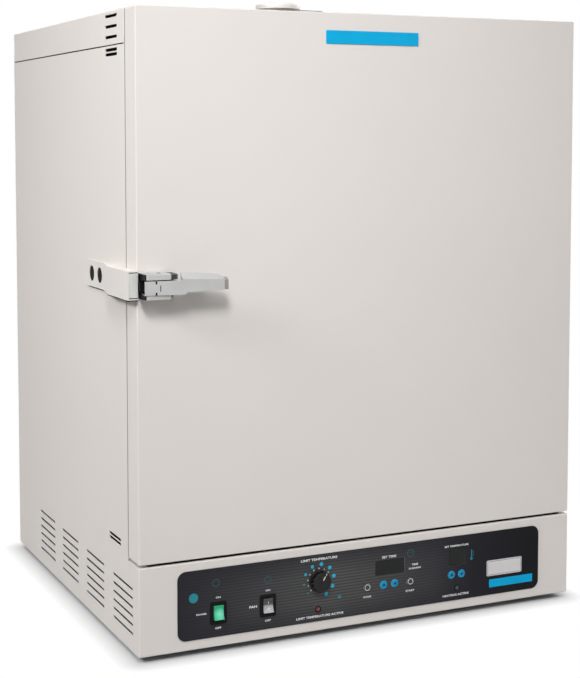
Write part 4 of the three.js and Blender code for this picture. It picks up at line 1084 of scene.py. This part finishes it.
def armSection(share, inset=0.0):  # section of the arm at a share of its length
    face, rear, low = leverYs[0], leverYs[0] + leverSizes["arm"], leverZs[0]
    bottom = low + leverSizes["rise"] + leverSizes["taper"] * share + inset
    faceTop = low + leverSizes["faceRise"] - leverSizes["faceTaper"] * share
    drop, slope, droop = leverSizes["top"]
    top = leverZs[1] - drop - slope * share - droop * share ** 7 - inset
    return [(face + inset, bottom), (face + inset, faceTop - inset), (rear - leverSizes["bevel"], top),
            (rear - inset, top), (rear - inset, bottom)]


def leverForm():
    hub, arm, cap, tooth = take(leverSizes, "hub", "arm", "cap", "tooth")
    face, rear, low, armX = leverYs[0], leverYs[0] + arm, leverZs[0], baseXs[1]
    outline = [noseAt, (noseAt[0], noseAt[1] + leverSizes["noseThick"]), (pinX - 2 * hub, pinY - hub / 2)]
    outline += [polar((pinX, pinY), hub, math.radians(180 - 15 * i)) for i in range(13)]
    outline += [(pinX + 3 * hub, rear - gap), (armX + hub, rear), (armX + hub, face), (armX - hub, face)]
    start = armX + 2 * gap
    sections = [(start + (leverXs[1] - cap - start) * share, armSection(share))
                for share in leverSizes["sections"]]
    root = prism("z", (low, rootTop), outline)
    whole = softened(combined(root, loft("x", sections), "UNION"), 0.8, 3, 25)
    rises = [low + rise for rise in tooth["rises"]]
    return together(whole, block(around(pinX, tooth["width"]), (pinY, pinY + tooth["length"]), rises, 0.6))


def leverCapForm():  # the darker end of the arm, set back a little from its faces
    start, section = leverXs[1] - leverSizes["cap"] - 1, armSection(1.0, leverSizes["capInset"])
    rings = [(x, section) for x in (start, leverXs[1])]
    return softened(loft("x", rings), 1.0, 3, 25)


def leverShadeMarksForm():  # painted shade: dark blocks on the root's face that stand in for a short slot and the two ends of a pin's relief
    low, stop = leverZs[0], (baseXs[1] - leverSizes["hub"], leverYs[0])

    def mark(back, width, rises):
        x = pinX - back
        y = noseAt[1] + (x - noseAt[0]) / (stop[0] - noseAt[0]) * (stop[1] - noseAt[1])
        return block(around(x, width), (y - leverSizes["markRise"], y + 1), rises, 0.1, 1)

    back, width, slotLow, slotHigh = leverSizes["slot"]
    slot = mark(back, width, (low + slotLow, low + slotHigh))
    back, width, height = leverSizes["relief"]
    ends = ((low, low + height), (rootTop - height, rootTop))
    return together(slot, *[mark(back, width, rises) for rises in ends])


strikeSizes = {
    "rampFront": 88,
    "rampRear": 150,
    "pad": 3,
    "wall": 2.5,
    "pocket": 39.4,
    "trim": 2.6,
    "seal": 1.6,
    "sealInset": 0.8,
    "sealShort": 12,
    "blockTrim": 0.7,
    "packing": 1.2,
}
strikeXs, strikeYs, strikeZs = spans("strike_bracket")
plugNames = ("strike_plug_front", "strike_plug_rear")


def strikeOutline(inset, rear):  # a bar that is thick in front and slopes to a thin pad
    pad, face, front = inset - halfWidth - strikeSizes["pad"], strikeXs[0] + inset, strikeYs[0] + inset
    rampFront, rampRear = take(strikeSizes, "rampFront", "rampRear")
    return [(strikeXs[1], rear), (pad, rear), (pad, rampRear), (face, rampFront), (face, front),
            (strikeXs[1], front)]


def strikeBracketForm():
    bar = prism("z", grown(strikeZs, -strikeSizes["trim"]), strikeOutline(0, strikeYs[1]))
    pocket = roundRect((strikeXs[0] + strikeSizes["wall"], strikeXs[1] + 2),
                       (strikeYs[0] - 2, spans("strike_block")[1][1] + gap), 0.1, 1)
    cutters = [prism("z", around(middle(strikeZs), strikeSizes["pocket"]), pocket)]
    for node in plugNames:
        radius = size(spans(node)[1]) / 2 + gap
        bore = [(radius, strikeXs[0] - 1), (radius, strikeXs[1] + 2)]
        cutters.append(turned("x", centreOf(node, "x"), bore, 40))
    return softened(combined(bar, together(*cutters)), 0.5)


def strikeShadeStripForm():  # a black strip under the bracket, painted shade along its lower edge
    low, inset = strikeZs[0] + strikeSizes["trim"], strikeSizes["sealInset"]
    outline = strikeOutline(inset, strikeYs[1] - strikeSizes["sealShort"])
    return prism("z", (low - strikeSizes["seal"], low + 0.5), outline, 0.3, 1)


def strikeGapShadeForm():  # thin black strips over and under the strike block, painted shade for the gaps there
    xs, ys, zs = spans("strike_block")
    half = strikeSizes["pocket"] / 2 - 0.1
    strips = [sorted(middle(zs) + side * reach for reach in (half - strikeSizes["packing"], half))
              for side in (-1, 1)]
    return together(*[block(xs, (ys[0] + 0.5, ys[1]), rises, 0.2, 1) for rises in strips])


def strikePlugForm(node):  # a dished plug with a raised rim
    (out, back), ys, _ = spans(node)
    radius = size(ys) / 2
    profile = [(0, out), (radius * 0.35, out + 0.02), (radius * 0.5, out + 0.25), (radius * 0.55, out + 0.6),
               (radius * 0.9, out + 0.65), (radius, out + 1.1), (radius, back), (0, back)]
    return turned("x", centreOf(node, "x"), profile, 40)


def makeLatch():
    addFor("handle_base", handleBaseForm(), "castMetal")
    addPiece("handlePlate", handlePlateForm(), "blackPlastic", "door")
    addPiece("handleBumper", handleEarShadeForm(), "darkButton", "door")
    addPiece("boltGuide", boltGuideShadeForm(), "blackPlastic", "door")
    xs, _, (low, high) = spans("handle_pin")
    radius, edge = size(xs) / 2, 0.5
    profile = [(0, low), (radius - edge, low), (radius, low + edge), (radius, high - edge),
               (radius - edge, high), (0, high)]
    addFor("handle_pin", turned("z", (pinX, pinY), profile, 24), "zincSteel")
    addFor("handle_lever", leverForm(), "castMetal")
    addPiece("leverEndCap", leverCapForm(), "capMetal", "lever")
    addPiece("leverMarks", leverShadeMarksForm(), "shadowSlot", "lever")
    # the bolt's dark steel is also painted shade for the hollow between the ears
    workedPiece("latch_bolt", "blackSteel", 0.3)
    addFor("strike_bracket", strikeBracketForm(), "paint")
    xs, ys, zs = spans("strike_block")
    addFor("strike_block", block(xs, ys, grown(zs, -strikeSizes["blockTrim"]), 0.6, 3), "paleMetal")
    addPiece("strikePacking", strikeGapShadeForm(), "footRubber", "cabinet")
    addPiece("strikeSeal", strikeShadeStripForm(), "footRubber", "cabinet")
    for node in plugNames:
        addFor(node, strikePlugForm(node), "footRubber")


# Vent: a collar with windows through the roof, and a turning cap with a tab
capSizes = {"plate": 2.5, "plateRadius": 36.5, "radius": 39.5, "drop": 2.2, "edge": 4, "groove": 0.5,
            "bead": (2.2, 2.5, 2.9, 3.2), "beadDepth": 0.35, "tabCorner": 8, "tabWidth": 24, "tabEnd": 86}
capYs, capZs = spans("vent_cap")[1:]
capCentre = (0, middle(capYs))


def ventCollarForm():
    xs, _, zs = spans("vent_collar")
    centre, low = centreOf("vent_collar", "z"), cabinetTop + gap
    radius, bore, flange, window = take(ventSizes, "radius", "bore", "flange", "window")
    reach, top = size(xs) / 2, low + flange
    profile = [(bore, zs[0]), (radius, zs[0]), (radius, low), (reach - 0.4, low), (reach, low + 0.4),
               (reach, top - 0.8), (reach - 0.8, top), (radius + 1.5, top), (radius, top + 1.5),
               (radius, zs[1]), (bore, zs[1])]
    outline = roundRect(around(0, window["width"]), around(zs[1] - window["drop"], window["height"]), 2, 4)
    cutters = [moved(prism("y", (0, reach), outline), (*centre, 0), turn)
               for turn in evenly(window["count"], 0, 360 / window["count"])]
    return combined(turned("z", centre, profile, 64, closed=True), together(*cutters))


def ventCapForm():
    reach, crown, low = capSizes["radius"], capZs[1] - capSizes["drop"], capZs[0] + capSizes["plate"]
    edge, floor = capSizes["edge"], crown - capSizes["groove"]
    first, second, third, last = (low + rise for rise in capSizes["bead"])
    inner = reach - capSizes["beadDepth"]
    profile = [(0, low), (reach - 0.6, low), (reach, low + 0.6), (reach, first), (inner, second),
               (inner, third), (reach, last), *roundOver((reach, crown - edge), (reach - edge, crown), 8)]
    profile += [(reach * share, depth) for share, depth in
                ((0.55, crown), (0.53, floor), (0.48, floor), (0.46, crown), (0, crown))]
    return turned("z", capCentre, profile, 72)


def ventTabForm():  # the plate under the cap with the tab that turns it
    bottom, inner, top = capZs[0], capSizes["plateRadius"], capZs[0] + capSizes["plate"]
    profile = [(0, bottom), (inner - 0.4, bottom), (inner, bottom + 0.4), (inner, top + 1), (0, top + 1)]
    tabYs = around(capCentre[1], capSizes["tabWidth"])
    outline = roundRect((0, capSizes["tabEnd"]), tabYs, capSizes["tabCorner"], 8)
    return together(turned("z", capCentre, profile, 72), prism("z", (bottom, top), outline, 0.5))


def makeVent():
    addFor("vent_collar", ventCollarForm(), "castMetal")
    addFor("vent_cap", ventCapForm(), "spunMetal")
    addPiece("ventTab", ventTabForm(), "capMetal", "vent_lid")


# Chamber: liner, baffle, rails and wire shelves
baffleSizes = {"slot": 9, "inner": 20, "outer": 62, "intakes": 12, "outletLength": 56, "outletRows": 9,
               "outletPitch": 52, "outletInset": 60}
shelfSizes = {"frame": 3.5, "crossBar": 3.325, "wire": 1.8, "wires": 13, "crossBars": 2, "corner": 14}


def rearBaffleForm():  # long slots like spokes in front of the blower, and rows of them at both sides
    xs, ys, zs = spans("rear_baffle")
    front, rise = (ys[0], ys[0] + sheetThickness), middle(spans("blower_wheel")[2])
    slot, rows, pitch = take(baffleSizes, "slot", "outletRows", "outletPitch")
    spoke = longHole(take(baffleSizes, "inner", "outer"), 0, slot)
    holes = [[(u * math.cos(turn) - v * math.sin(turn), rise + u * math.sin(turn) + v * math.cos(turn))
              for u, v in spoke] for turn in fullTurn(baffleSizes["intakes"])]
    reach = xs[1] + gap - baffleSizes["outletInset"]
    holes += [longHole(around(hand * reach, baffleSizes["outletLength"]), height, slot)
              for hand in (-1, 1) for height in evenly(rows, rise - (rows - 1) / 2 * pitch, pitch)]
    rises = (zs[0] + gap, zs[0] + gap + sheetThickness)
    foot = block(grown(xs, -shellSizes["flange"]), (middle(front), ys[1]), rises)
    return together(cutSheet("y", front, roundRect(xs, zs, 1, 2), holes), foot)


def wireShelfForm(node):
    xs, ys, zs = spans(node)
    radius, thin, rise = shelfSizes["frame"], shelfSizes["wire"], middle(zs)
    (left, right), (front, rear) = grown(xs, -radius), grown(ys, -radius)
    ring = roundRect((left, right), (front, rear), shelfSizes["corner"], 8)
    parts = [wire([(x, y, rise) for x, y in ring], radius, 12, closed=True)]
    for i in range(shelfSizes["crossBars"]):
        y = ys[0] + size(ys) * (i + 1) / (shelfSizes["crossBars"] + 1)
        parts.append(wire([(left, y, rise), (right, y, rise)], shelfSizes["crossBar"]))
    for i in range(shelfSizes["wires"]):
        x = left + (right - left) * (i + 1) / (shelfSizes["wires"] + 1)
        parts.append(wire([(x, front, zs[1] - thin), (x, rear, zs[1] - thin)], thin, 10))
    return together(*parts)


def makeChamber():
    workedPiece("chamber_liner", "linerSteel", 0.6)
    addFor("rear_baffle", rearBaffleForm(), "linerSteel")
    workedPiece("shelf_rail_left", "linerSteel", 0.4)
    workedPiece("shelf_rail_right", "linerSteel", 0.4)
    for node in ("shelf_lower", "shelf_upper"):
        addFor(node, wireShelfForm(node), "rodSteel")
    workedPiece("temperature_probe", "rodSteel", 0.3)
    workedPiece("blower_wheel", "zincSteel", 0.2, 1)
    workedPiece("fan_motor", "blackPlastic", 0.4, 1)
    # the jacket's black fleece is painted shade behind the slots
    for node, finish in {"insulation_jacket": "blackFleece", "motor_shaft": "zincSteel",
                         "heater_element": "heaterSteel", "limit_thermostat": "zincSteel",
                         "control_board": "circuitBoard"}.items():
        finishNode(node, finish)


# Control panel: fascia, printed film, switches, knob, displays and push buttons
panelSizes = {
    "corner": 13.5,
    "cornerSide": 2.2,
    "bezel": {"corner": 2.5, "rim": 0.7, "deep": 2},
    "well": {"width": 17, "height": 26.4, "depth": 9, "bodyWidth": 21, "bodyHeight": 29.5},
    "holes": {"button": 6.95, "stem": 3.45, "shaft": 4.5},
}
buttonNames = [node for node in frame["nodes"] if node.endswith("_button")]
switchNames = ["power_switch_housing", "fan_switch_housing"]
windowNames = {"timer_display": (54, 24), "temperature_display": (31, 27)}


def rectOn(node, width, height):  # the reach in x and z of a rectangle on a node's middle
    x, z = centreOf(node)
    return around(x, width), around(z, height)


def controlHoles(forButtons):
    well, clear = panelSizes["well"], 2 * gap
    holes = [circle(centreOf(node), forButtons) for node in buttonNames]
    holes.append(circle(centreOf("limit_knob"), panelSizes["holes"]["shaft"]))
    holes += [roundRect(*rectOn(node, well["bodyWidth"] + clear, well["bodyHeight"] + clear), 0.5, 2)
              for node in switchNames]
    return holes + [roundRect(*rectOn(node, *window), 0.8, 3) for node, window in windowNames.items()]


def fasciaForm():
    xs, ys, zs = spans("front_fascia")
    thick, cornerSide, reach = sheetThickness, panelSizes["cornerSide"], halfWidth - sheetThickness - gap
    profile = [*roundOver((0, cornerSide), (thick, 0.0), 6), (thick, 1.0)]
    cutters = [prism("y", (-2, thick + 2), hole) for hole in controlHoles(panelSizes["holes"]["stem"])]
    face = combined(framed("y", xs, zs, cornerSide + 0.5, profile), together(*cutters))
    return together(face, block((-reach, reach), (thick / 2, ys[1]), (zs[1] - thick, zs[1])))


def filmForm():
    xs, ys, zs = spans("control_overlay")
    outline = roundRect(xs, zs, panelSizes["corner"], 12)
    return cutSheet("y", ys, outline, controlHoles(panelSizes["holes"]["button"]), 0.2)


def housingForm(node):
    xs, (front, rear), zs = spans(node)
    well, bezel = panelSizes["well"], panelSizes["bezel"]
    wellXs, wellZs = rectOn(node, well["width"], well["height"])
    body = roundRect(*rectOn(node, well["bodyWidth"], well["bodyHeight"]), 0.8)
    rim, corner, rimRear = bezel["rim"], bezel["corner"], front + bezel["deep"]
    mouth = ((well["depth"], 0, 0.8), (front + rim, 0, 0.8), (front + rim / 3, rim / 3, 1.1),
             (front, rim, 1.4))
    rings = [(depth, roundRect(grown(wellXs, out), grown(wellZs, out), easing))
             for depth, out, easing in mouth]
    rings += [(depth, roundRect(grown(xs, -inset), grown(zs, -inset), corner - inset / 2))
              for depth, inset in roundOver((front, rim), (front + rim, 0), 3)]
    return loft("y", rings + [(rimRear, roundRect(xs, zs, corner)), (rimRear, body), (rear, body)])


rockerSizes = {"width": 16, "height": 22.4, "pivot": 2, "valley": 5.8, "peak": 8.2, "shoulder": 3,
               "heel": 2.5, "tilt": 8, "mark": 0.12, "steps": 12}


def tilted(form, node):  # from the rocker's own level place to its place in the panel
    x, z = centreOf(node)
    return moved(form, (x, rockerSizes["pivot"], z), -rockerSizes["tilt"], "x")


def rockerFace(rise):  # how far in front of its pivot the hollowed face is
    share = rise / (rockerSizes["height"] / 2)
    return -rockerSizes["valley"] - (rockerSizes["peak"] - rockerSizes["valley"]) * share ** 2


def rockerForm(node):
    half, heel, shoulder = rockerSizes["height"] / 2, rockerSizes["heel"], -rockerSizes["shoulder"]
    rises = [-half + 2 * half * i / rockerSizes["steps"] for i in range(rockerSizes["steps"] + 1)]
    outline = [(rockerFace(rise), rise) for rise in rises]
    outline += [(shoulder, half), (heel, half / 3), (heel, -half / 3), (shoulder, -half)]
    return tilted(prism("x", around(0, rockerSizes["width"]), outline, 0.5, 3), node)


def rockerMarks(node):  # a line on the upper half and a ring on the lower one
    mark, quarter = rockerSizes["mark"], rockerSizes["height"] / 4
    face = rockerFace(quarter)  # the same above the pivot as below it
    line = block(around(0, 1.0), (face - mark, face + 1), around(quarter, 5), 0.05, 1)
    return tilted(together(line, ringForm((0, -quarter), 2.3, 0.9, (face - 0.4, face + 1), 24)), node)


knobSizes = {"lobes": 14, "rim": 1.2, "lobeDepth": 1.3, "top": 1.5, "radius": 17.6, "drop": 4.5, "bore": 3.3,
             "boreDepth": 12, "dish": 0.7, "steps": 112, "pointer": 1.6, "turn": 30}
knobYs = (spans("limit_knob")[1][0] + knobSizes["drop"], spans("limit_knob")[1][1])


def knobOutline(reach, depth=0):  # with lobes of a depth
    centre = centreOf("limit_knob")
    return [polar(centre, reach - depth * (0.5 - 0.5 * math.cos(knobSizes["lobes"] * turn)), turn)
            for turn in fullTurn(knobSizes["steps"])]


def knobForm():
    reach, rim, depth, top, bore = take(knobSizes, "radius", "rim", "lobeDepth", "top", "bore")
    front, rear = knobYs
    rings = [(rear - knobSizes["boreDepth"], knobOutline(bore)), (rear, knobOutline(bore))]
    rings += [(rear - rise, knobOutline(reach - inset, lobed)) for rise, inset, lobed in
              ((0, 0.6, 0), (0.6, 0, 0), (2.2, 0, 0), (2.8, 0.6, depth))]
    rings += [(front + top - rise, knobOutline(reach - rim - inset, depth * (1 - 0.5 * inset / top)))
              for rise, inset in roundInto((0, 0), (top, top))]
    rings += [(front, knobOutline(reach * 0.72)), (front + knobSizes["dish"], knobOutline(reach * 0.6))]
    return loft("y", rings)


def knobPointer():  # a line on the rim and one in the dish
    x, z = centreOf("limit_knob")
    reach, front, across = knobSizes["radius"], knobYs[0], around(0, knobSizes["pointer"])
    line = together(block(across, (front - 0.05, front + 1.5), (reach * 0.74, reach - 2.2), 0.15, 1),
                    block(across, (front + 0.55, front + 1.5), (reach * 0.2, reach * 0.58), 0.1, 1))
    return moved(line, (x, 0, z), knobSizes["turn"], "y")


def buttonForm(node):  # a domed cap on a stem
    xs, (front, rear), _ = spans(node)
    radius, stem, capRear = size(xs) / 2, 3, front + 1.4
    profile = [(radius * share, front + fall) for share, fall in
               ((0, 0), (0.62, 0.02), (0.78, 0.12), (0.93, 0.4), (1, 0.9))]
    profile += [(radius, capRear), (stem, capRear), (stem, rear), (0, rear)]
    return turned("y", centreOf(node), profile, 40)


arrowSizes = {"reach": 3.7, "rise": 0.08, "root": 0.6}


def arrowForm(node, up):  # a flat arrow head let into the button's middle
    x, z = centreOf(node)
    front, reach = spans(node)[1][0], arrowSizes["reach"]
    corners = [(x + reach * math.sin(turn), z + up * reach * math.cos(turn)) for turn in fullTurn(3)]
    return prism("y", (front - arrowSizes["rise"], front + arrowSizes["root"]), corners)


def displayForm(node):  # a window that stands in the fascia, on a wider back
    xs, (front, rear), zs = spans(node)
    width, height = windowNames[node]
    lens = rectOn(node, width - 2 * gap, height - 2 * gap)
    back = sheetThickness + gap
    rings = [(depth, roundRect(*(grown(span, -inset) for span in lens), 0.6))
             for depth, inset in roundOver((front, 0.5), (front + 0.5, 0), 3)]
    return loft("y", rings + [(back, roundRect(*lens, 0.6)), (back, roundRect(xs, zs, 0.6)),
                              (rear, roundRect(xs, zs, 0.6))])


# Places on the panel are millimetres from the cabinet's left corner and from its lower edge
def onFilm(across, rise):
    return across - halfWidth, rise


# Words: what they say, their place and how wide they are
labels = [
    ("POWER", 100, 54, 17),
    ("ON", 127.5, 77, 8),
    ("OFF", 127.5, 29, 10),
    ("FAN", 186, 54, 13),
    ("ON", 211, 77, 8),
    ("OFF", 211, 29, 10),
    ("LIMIT TEMPERATURE", 300, 115.5, 64),
    ("LIMIT TEMPERATURE ACTIVE", 301.5, 23.5, 83),
    ("SET TIME", 426, 104, 26),
    ("TIME", 474, 85.5, 12),
    ("RUNNING", 474, 79.5, 22),
    ("MODE", 386, 43, 14),
    ("START", 465, 43, 16),
    ("SET TEMPERATURE", 553, 107, 46),
    ("HEATING ACTIVE", 552, 24.5, 50),
]


def panelWords():
    return together(*[lettering(word, onFilm(across, rise), width) for word, across, rise, width in labels])


dialSizes = {"ticks": 11, "tickReach": (18.8, 21.0), "tickWidth": 1.3, "tickFirst": 225, "tickSweep": 270,
             "dots": 9, "dimDots": 2, "dotReach": 26.5, "dotFirst": 223, "dotSweep": 284, "dotLeast": 1.6,
             "dotMost": 3.2}


def dialTicks():  # round the knob, from low left clockwise to low right
    x, z = centreOf("limit_knob")
    count, first, sweep = take(dialSizes, "ticks", "tickFirst", "tickSweep")
    ticks = [inkBar(dialSizes["tickReach"], around(0, dialSizes["tickWidth"])) for _ in range(count)]
    return together(*[moved(tick, (x, 0, z), sweep * i / (count - 1) - first, "y")
                      for i, tick in enumerate(ticks)])


def dialDots(start, stop):  # dots that grow along the same way
    least, most, first, sweep = take(dialSizes, "dotLeast", "dotMost", "dotFirst", "dotSweep")
    forms = []
    for share in [i / (dialSizes["dots"] - 1) for i in range(start, stop)]:
        place = polar(centreOf("limit_knob"), dialSizes["dotReach"], math.radians(first - sweep * share))
        forms.append(inkDisc(place, min(least + most * share, most), 28))
    return together(*forms)


marks = {
    "disc": ((87, 81), 7.5),
    "dot": ((336, 50), 2.8),
    "bulb": ((582, 82), 2.4),
    "stem": (1.6, 1.5, 15),
    "steps": (5, 8.5, 12),
    "switchRings": ((124, 100), (211, 94)),
    "clock": (466, 105),
}


def tealMarks():  # a round mark, a dot by the knob and a thermometer
    (disc, discRadius), (dot, dotRadius), (bulb, bulbRadius) = marks["disc"], marks["dot"], marks["bulb"]
    x, z = onFilm(*bulb)
    width, low, high = marks["stem"]
    forms = [inkDisc(onFilm(*disc), discRadius, 40), inkDisc(onFilm(*dot), dotRadius)]
    forms += [inkDisc((x, z), bulbRadius), inkBar(around(x, width), (z + low, z + high))]
    return together(*forms, *[inkBar((x + 2, x + 4.5), around(z + rise, 0.8)) for rise in marks["steps"]])


def faintMarks():  # rings over the switches and a clock face by the timer
    x, z = onFilm(*marks["clock"])
    forms = [ringForm(onFilm(*place), 6, 1.0) for place in marks["switchRings"]]
    return together(*forms, ringForm((x, z), 6.5, 1.0), inkBar(around(x, 0.9), (z, z + 4.2)),
                    inkBar((x, x + 3), around(z, 0.9)))


stickerSizes = {"across": (612, 681), "rise": (47.5, 74), "thick": 0.25, "corner": 2.5, "line": (1.6, 2.2),
                "lineRise": 0.06}
barSizes = {"across": (617, 703), "rise": (28, 41.5), "thick": 0.35, "corner": 0.8}
filmFace = spans("control_overlay")[1][0]


def acrossPanel(given):
    return tuple(value - halfWidth for value in given["across"])


def plateOnFilm(given):
    rise, corner, thick = take(given, "rise", "corner", "thick")
    return plate(acrossPanel(given), (filmFace - thick, filmFace + 0.1), rise, corner, 0.15, 3)


def stickerFrame():  # a fine printed line round the blank sticker
    rise, corner, thick, (outer, inner) = take(stickerSizes, "rise", "corner", "thick", "line")
    front = filmFace - thick - stickerSizes["lineRise"]
    profile = [(front, inner), (front, outer), (front + 0.3, outer), (front + 0.3, inner)]
    return framed("y", acrossPanel(stickerSizes), rise, corner, profile, closed=True)


lampSizes = {"red": (298, 35), "green": (554, 36), "radius": 3.5, "bezel": 5.2, "rise": 1.3}


def lensForm(place):
    radius, rise, root = lampSizes["radius"], lampSizes["rise"], filmFace + 0.2
    dome = roundInto((0, filmFace - rise), (radius, filmFace), 6)
    return turned("y", onFilm(*place), dome + [(radius, root), (0, root)], 32)


def bezelForm(place):
    width = lampSizes["bezel"] - lampSizes["radius"] - 0.05
    return ringForm(onFilm(*place), lampSizes["bezel"], width, (filmFace - 0.6, filmFace + 0.2))


def makePanel():
    addFor("front_fascia", fasciaForm(), "paint")
    addFor("control_overlay", filmForm(), "overlayFilm")
    for node in switchNames:
        addFor(node, housingForm(node), "blackPlastic")
    addFor("power_rocker", rockerForm("power_switch_housing"), "greenRocker")
    addFor("fan_rocker", rockerForm("fan_switch_housing"), "smokyRocker")
    addPiece("fanRockerMarks", rockerMarks("fan_switch_housing"), "whitePrint", "fan_paddle")
    addFor("limit_knob", knobForm(), "knobPlastic")
    addPiece("knobPointer", knobPointer(), "whitePrint", "knob")
    for node in windowNames:
        addFor(node, displayForm(node), "smokedWindow")
    for node in buttonNames:
        front, up = spans(node)[1][0], 1 if "up" in node else -1
        if "up" in node or "down" in node:
            addFor(node, buttonForm(node), "blueButton")
            addPiece(camel(node) + "Arrow", arrowForm(node, up), "inkPrint", bodyOf[node])
        else:
            addFor(node, buttonForm(node), "darkButton")
            ring = ringForm(centreOf(node), 5.0, 0.9, (front + 0.02, front + 0.6))
            addPiece(camel(node) + "Ring", ring, "whitePrint", bodyOf[node])
    dim, count = dialSizes["dimDots"], dialSizes["dots"]
    for name, form, finish in (
        ("panelWords", panelWords(), "whitePrint"),
        ("dialTicks", dialTicks(), "whitePrint"),
        ("dialDots", dialDots(dim, count), "cyanPrint"),
        ("dialDimDots", dialDots(0, dim), "tealPrint"),
        ("tealMarks", tealMarks(), "tealPrint"),
        ("faintMarks", faintMarks(), "faintPrint"),
        ("blankSticker", plateOnFilm(stickerSizes), "stickerPaper"),
        ("stickerFrame", stickerFrame(), "greyPlastic"),
        ("blueBar", plateOnFilm(barSizes), "bluePlate"),
        ("redLamp", lensForm(lampSizes["red"]), "redLens"),
        ("redLampBezel", bezelForm(lampSizes["red"]), "blackPlastic"),
        ("greenLamp", lensForm(lampSizes["green"]), "darkGreenLens"),
        ("greenLampBezel", bezelForm(lampSizes["green"]), "blackPlastic"),
    ):
        addPiece(name, form, finish, "cabinet")
    workedPiece("power_inlet", "blackPlastic", 0.4)


# Stage: a pale floor that fades to white round the cabinet, soft lamps and a white surround
stageSizes = {"floor": 14.0, "fade": (0.0, 0.045), "footInset": 0.012, "floorColour": 0.6, "roughness": 0.9}
lamps = {  # place, aim, size, power and spread
    "keyLamp": ((-1.15, -2.35, 2.5), (-0.15, -0.3, 0.78), 0.85, 6.7, 60),
    "sideLamp": ((-2.5, -0.85, 1.95), (-0.4, -0.1, 0.6), 0.8, 14.4, 110),
    "frontLamp": ((1.9, -3.0, 2.2), (0, 0, 0.9), 2.2, 7.5, 110),
    "topLamp": ((-0.3, -0.9, 3.2), (0, 0, 0.9), 1.6, 4.5, 180),
    "rearLamp": ((1.8, 3.0, 2.0), (0, 0, 0.5), 2.2, 30, 180),
    "rightLamp": ((2.7, 0.7, 1.7), (0.4, 0, 0.5), 1.6, 24, 180),
}
surround = {"light": 0.2, "shown": 1.0}


def seenDirectly(tree):  # 1 for the camera, for gloss and for light through glass
    path = addNode(tree, "LightPath", {}).outputs
    seen = calculate(tree, "MAXIMUM", path["Is Camera Ray"], path["Is Glossy Ray"])
    return calculate(tree, "MAXIMUM", seen, path["Is Transmission Ray"])


def fromFootprint(tree):  # how far a point of the floor is from the cabinet's foot
    low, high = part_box("top_cover")
    inset, place = stageSizes["footInset"], parted(tree, objectPlace(tree))
    front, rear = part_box("door_skin")[0].y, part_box("rear_cover")[1].y
    squares = []
    for axis, reach in (("X", (low.x, high.x)), ("Y", (front, rear))):
        start, stop = grown(reach, -inset)
        offset = awayFrom(tree, place[axis], (start + stop) / 2)
        away = calculate(tree, "MAXIMUM", calculate(tree, "SUBTRACT", offset, (stop - start) / 2))
        squares.append(calculate(tree, "POWER", away, 2.0))
    return calculate(tree, "SQRT", calculate(tree, "ADD", *squares))


def makeFloor():
    finish = bpy.data.materials.new("paleFloor")
    finish.use_nodes = True
    tree = finish.node_tree
    shader = tree.nodes["Principled BSDF"]
    shader.inputs["Base Color"].default_value = (*[stageSizes["floorColour"]] * 3, 1)
    shader.inputs["Roughness"].default_value = stageSizes["roughness"]
    shader.inputs["Specular IOR Level"].default_value = 0.0
    fade = rerange(tree, fromFootprint(tree), *stageSizes["fade"])
    share = calculate(tree, "MULTIPLY", fade, seenDirectly(tree))
    glow = addNode(tree, "Emission", {"Color": (1, 1, 1, 1), "Strength": 1.0})
    mix = addNode(tree, "MixShader", {0: share, 1: shader.outputs[0], 2: glow.outputs[0]})
    tree.links.new(mix.outputs[0], tree.nodes["Material Output"].inputs["Surface"])
    half = stageSizes["floor"] / 2
    corners = [(-half, -half, 0), (half, -half, 0), (half, half, 0), (-half, half, 0)]
    mesh = bpy.data.meshes.new("floor")
    mesh.from_pydata(corners, [], [(0, 1, 2, 3)])
    mesh.materials.append(finish)
    floor = newObject("floor", mesh)


def makeLamps():
    for name, (place, aim, width, power, spread) in lamps.items():
        lamp = bpy.data.lights.new(name, "AREA")
        lamp.shape, lamp.size, lamp.energy, lamp.spread = "DISK", width, power, math.radians(spread)
        holder = newObject(name, lamp)
        holder.location = place
        holder.rotation_euler = (Vector(aim) - Vector(place)).to_track_quat("-Z", "Y").to_euler()
        holder.visible_camera = False


def makeSurround():
    world = bpy.data.worlds.new("surround")
    world.use_nodes = True
    tree = world.node_tree
    strength = rerange(tree, seenDirectly(tree), 0.0, 1.0, surround["light"], surround["shown"])
    background = tree.nodes["Background"].inputs
    background["Color"].default_value = (1, 1, 1, 1)
    tree.links.new(strength, background["Strength"])
    scene.world = world


scene.view_settings.view_transform = "Standard"
placeCamera()
makeFloor()
makeLamps()
makeSurround()
print("stage: camera, floor and lamps")
makeShell()
makeFeet()
print("shell: made")
makeDoor()
makeHinges()
print("door: made")
makeLatch()
print("latch: made")
makeVent()
makeChamber()
print("vent and chamber: made")
makePanel()
print("panel: made")
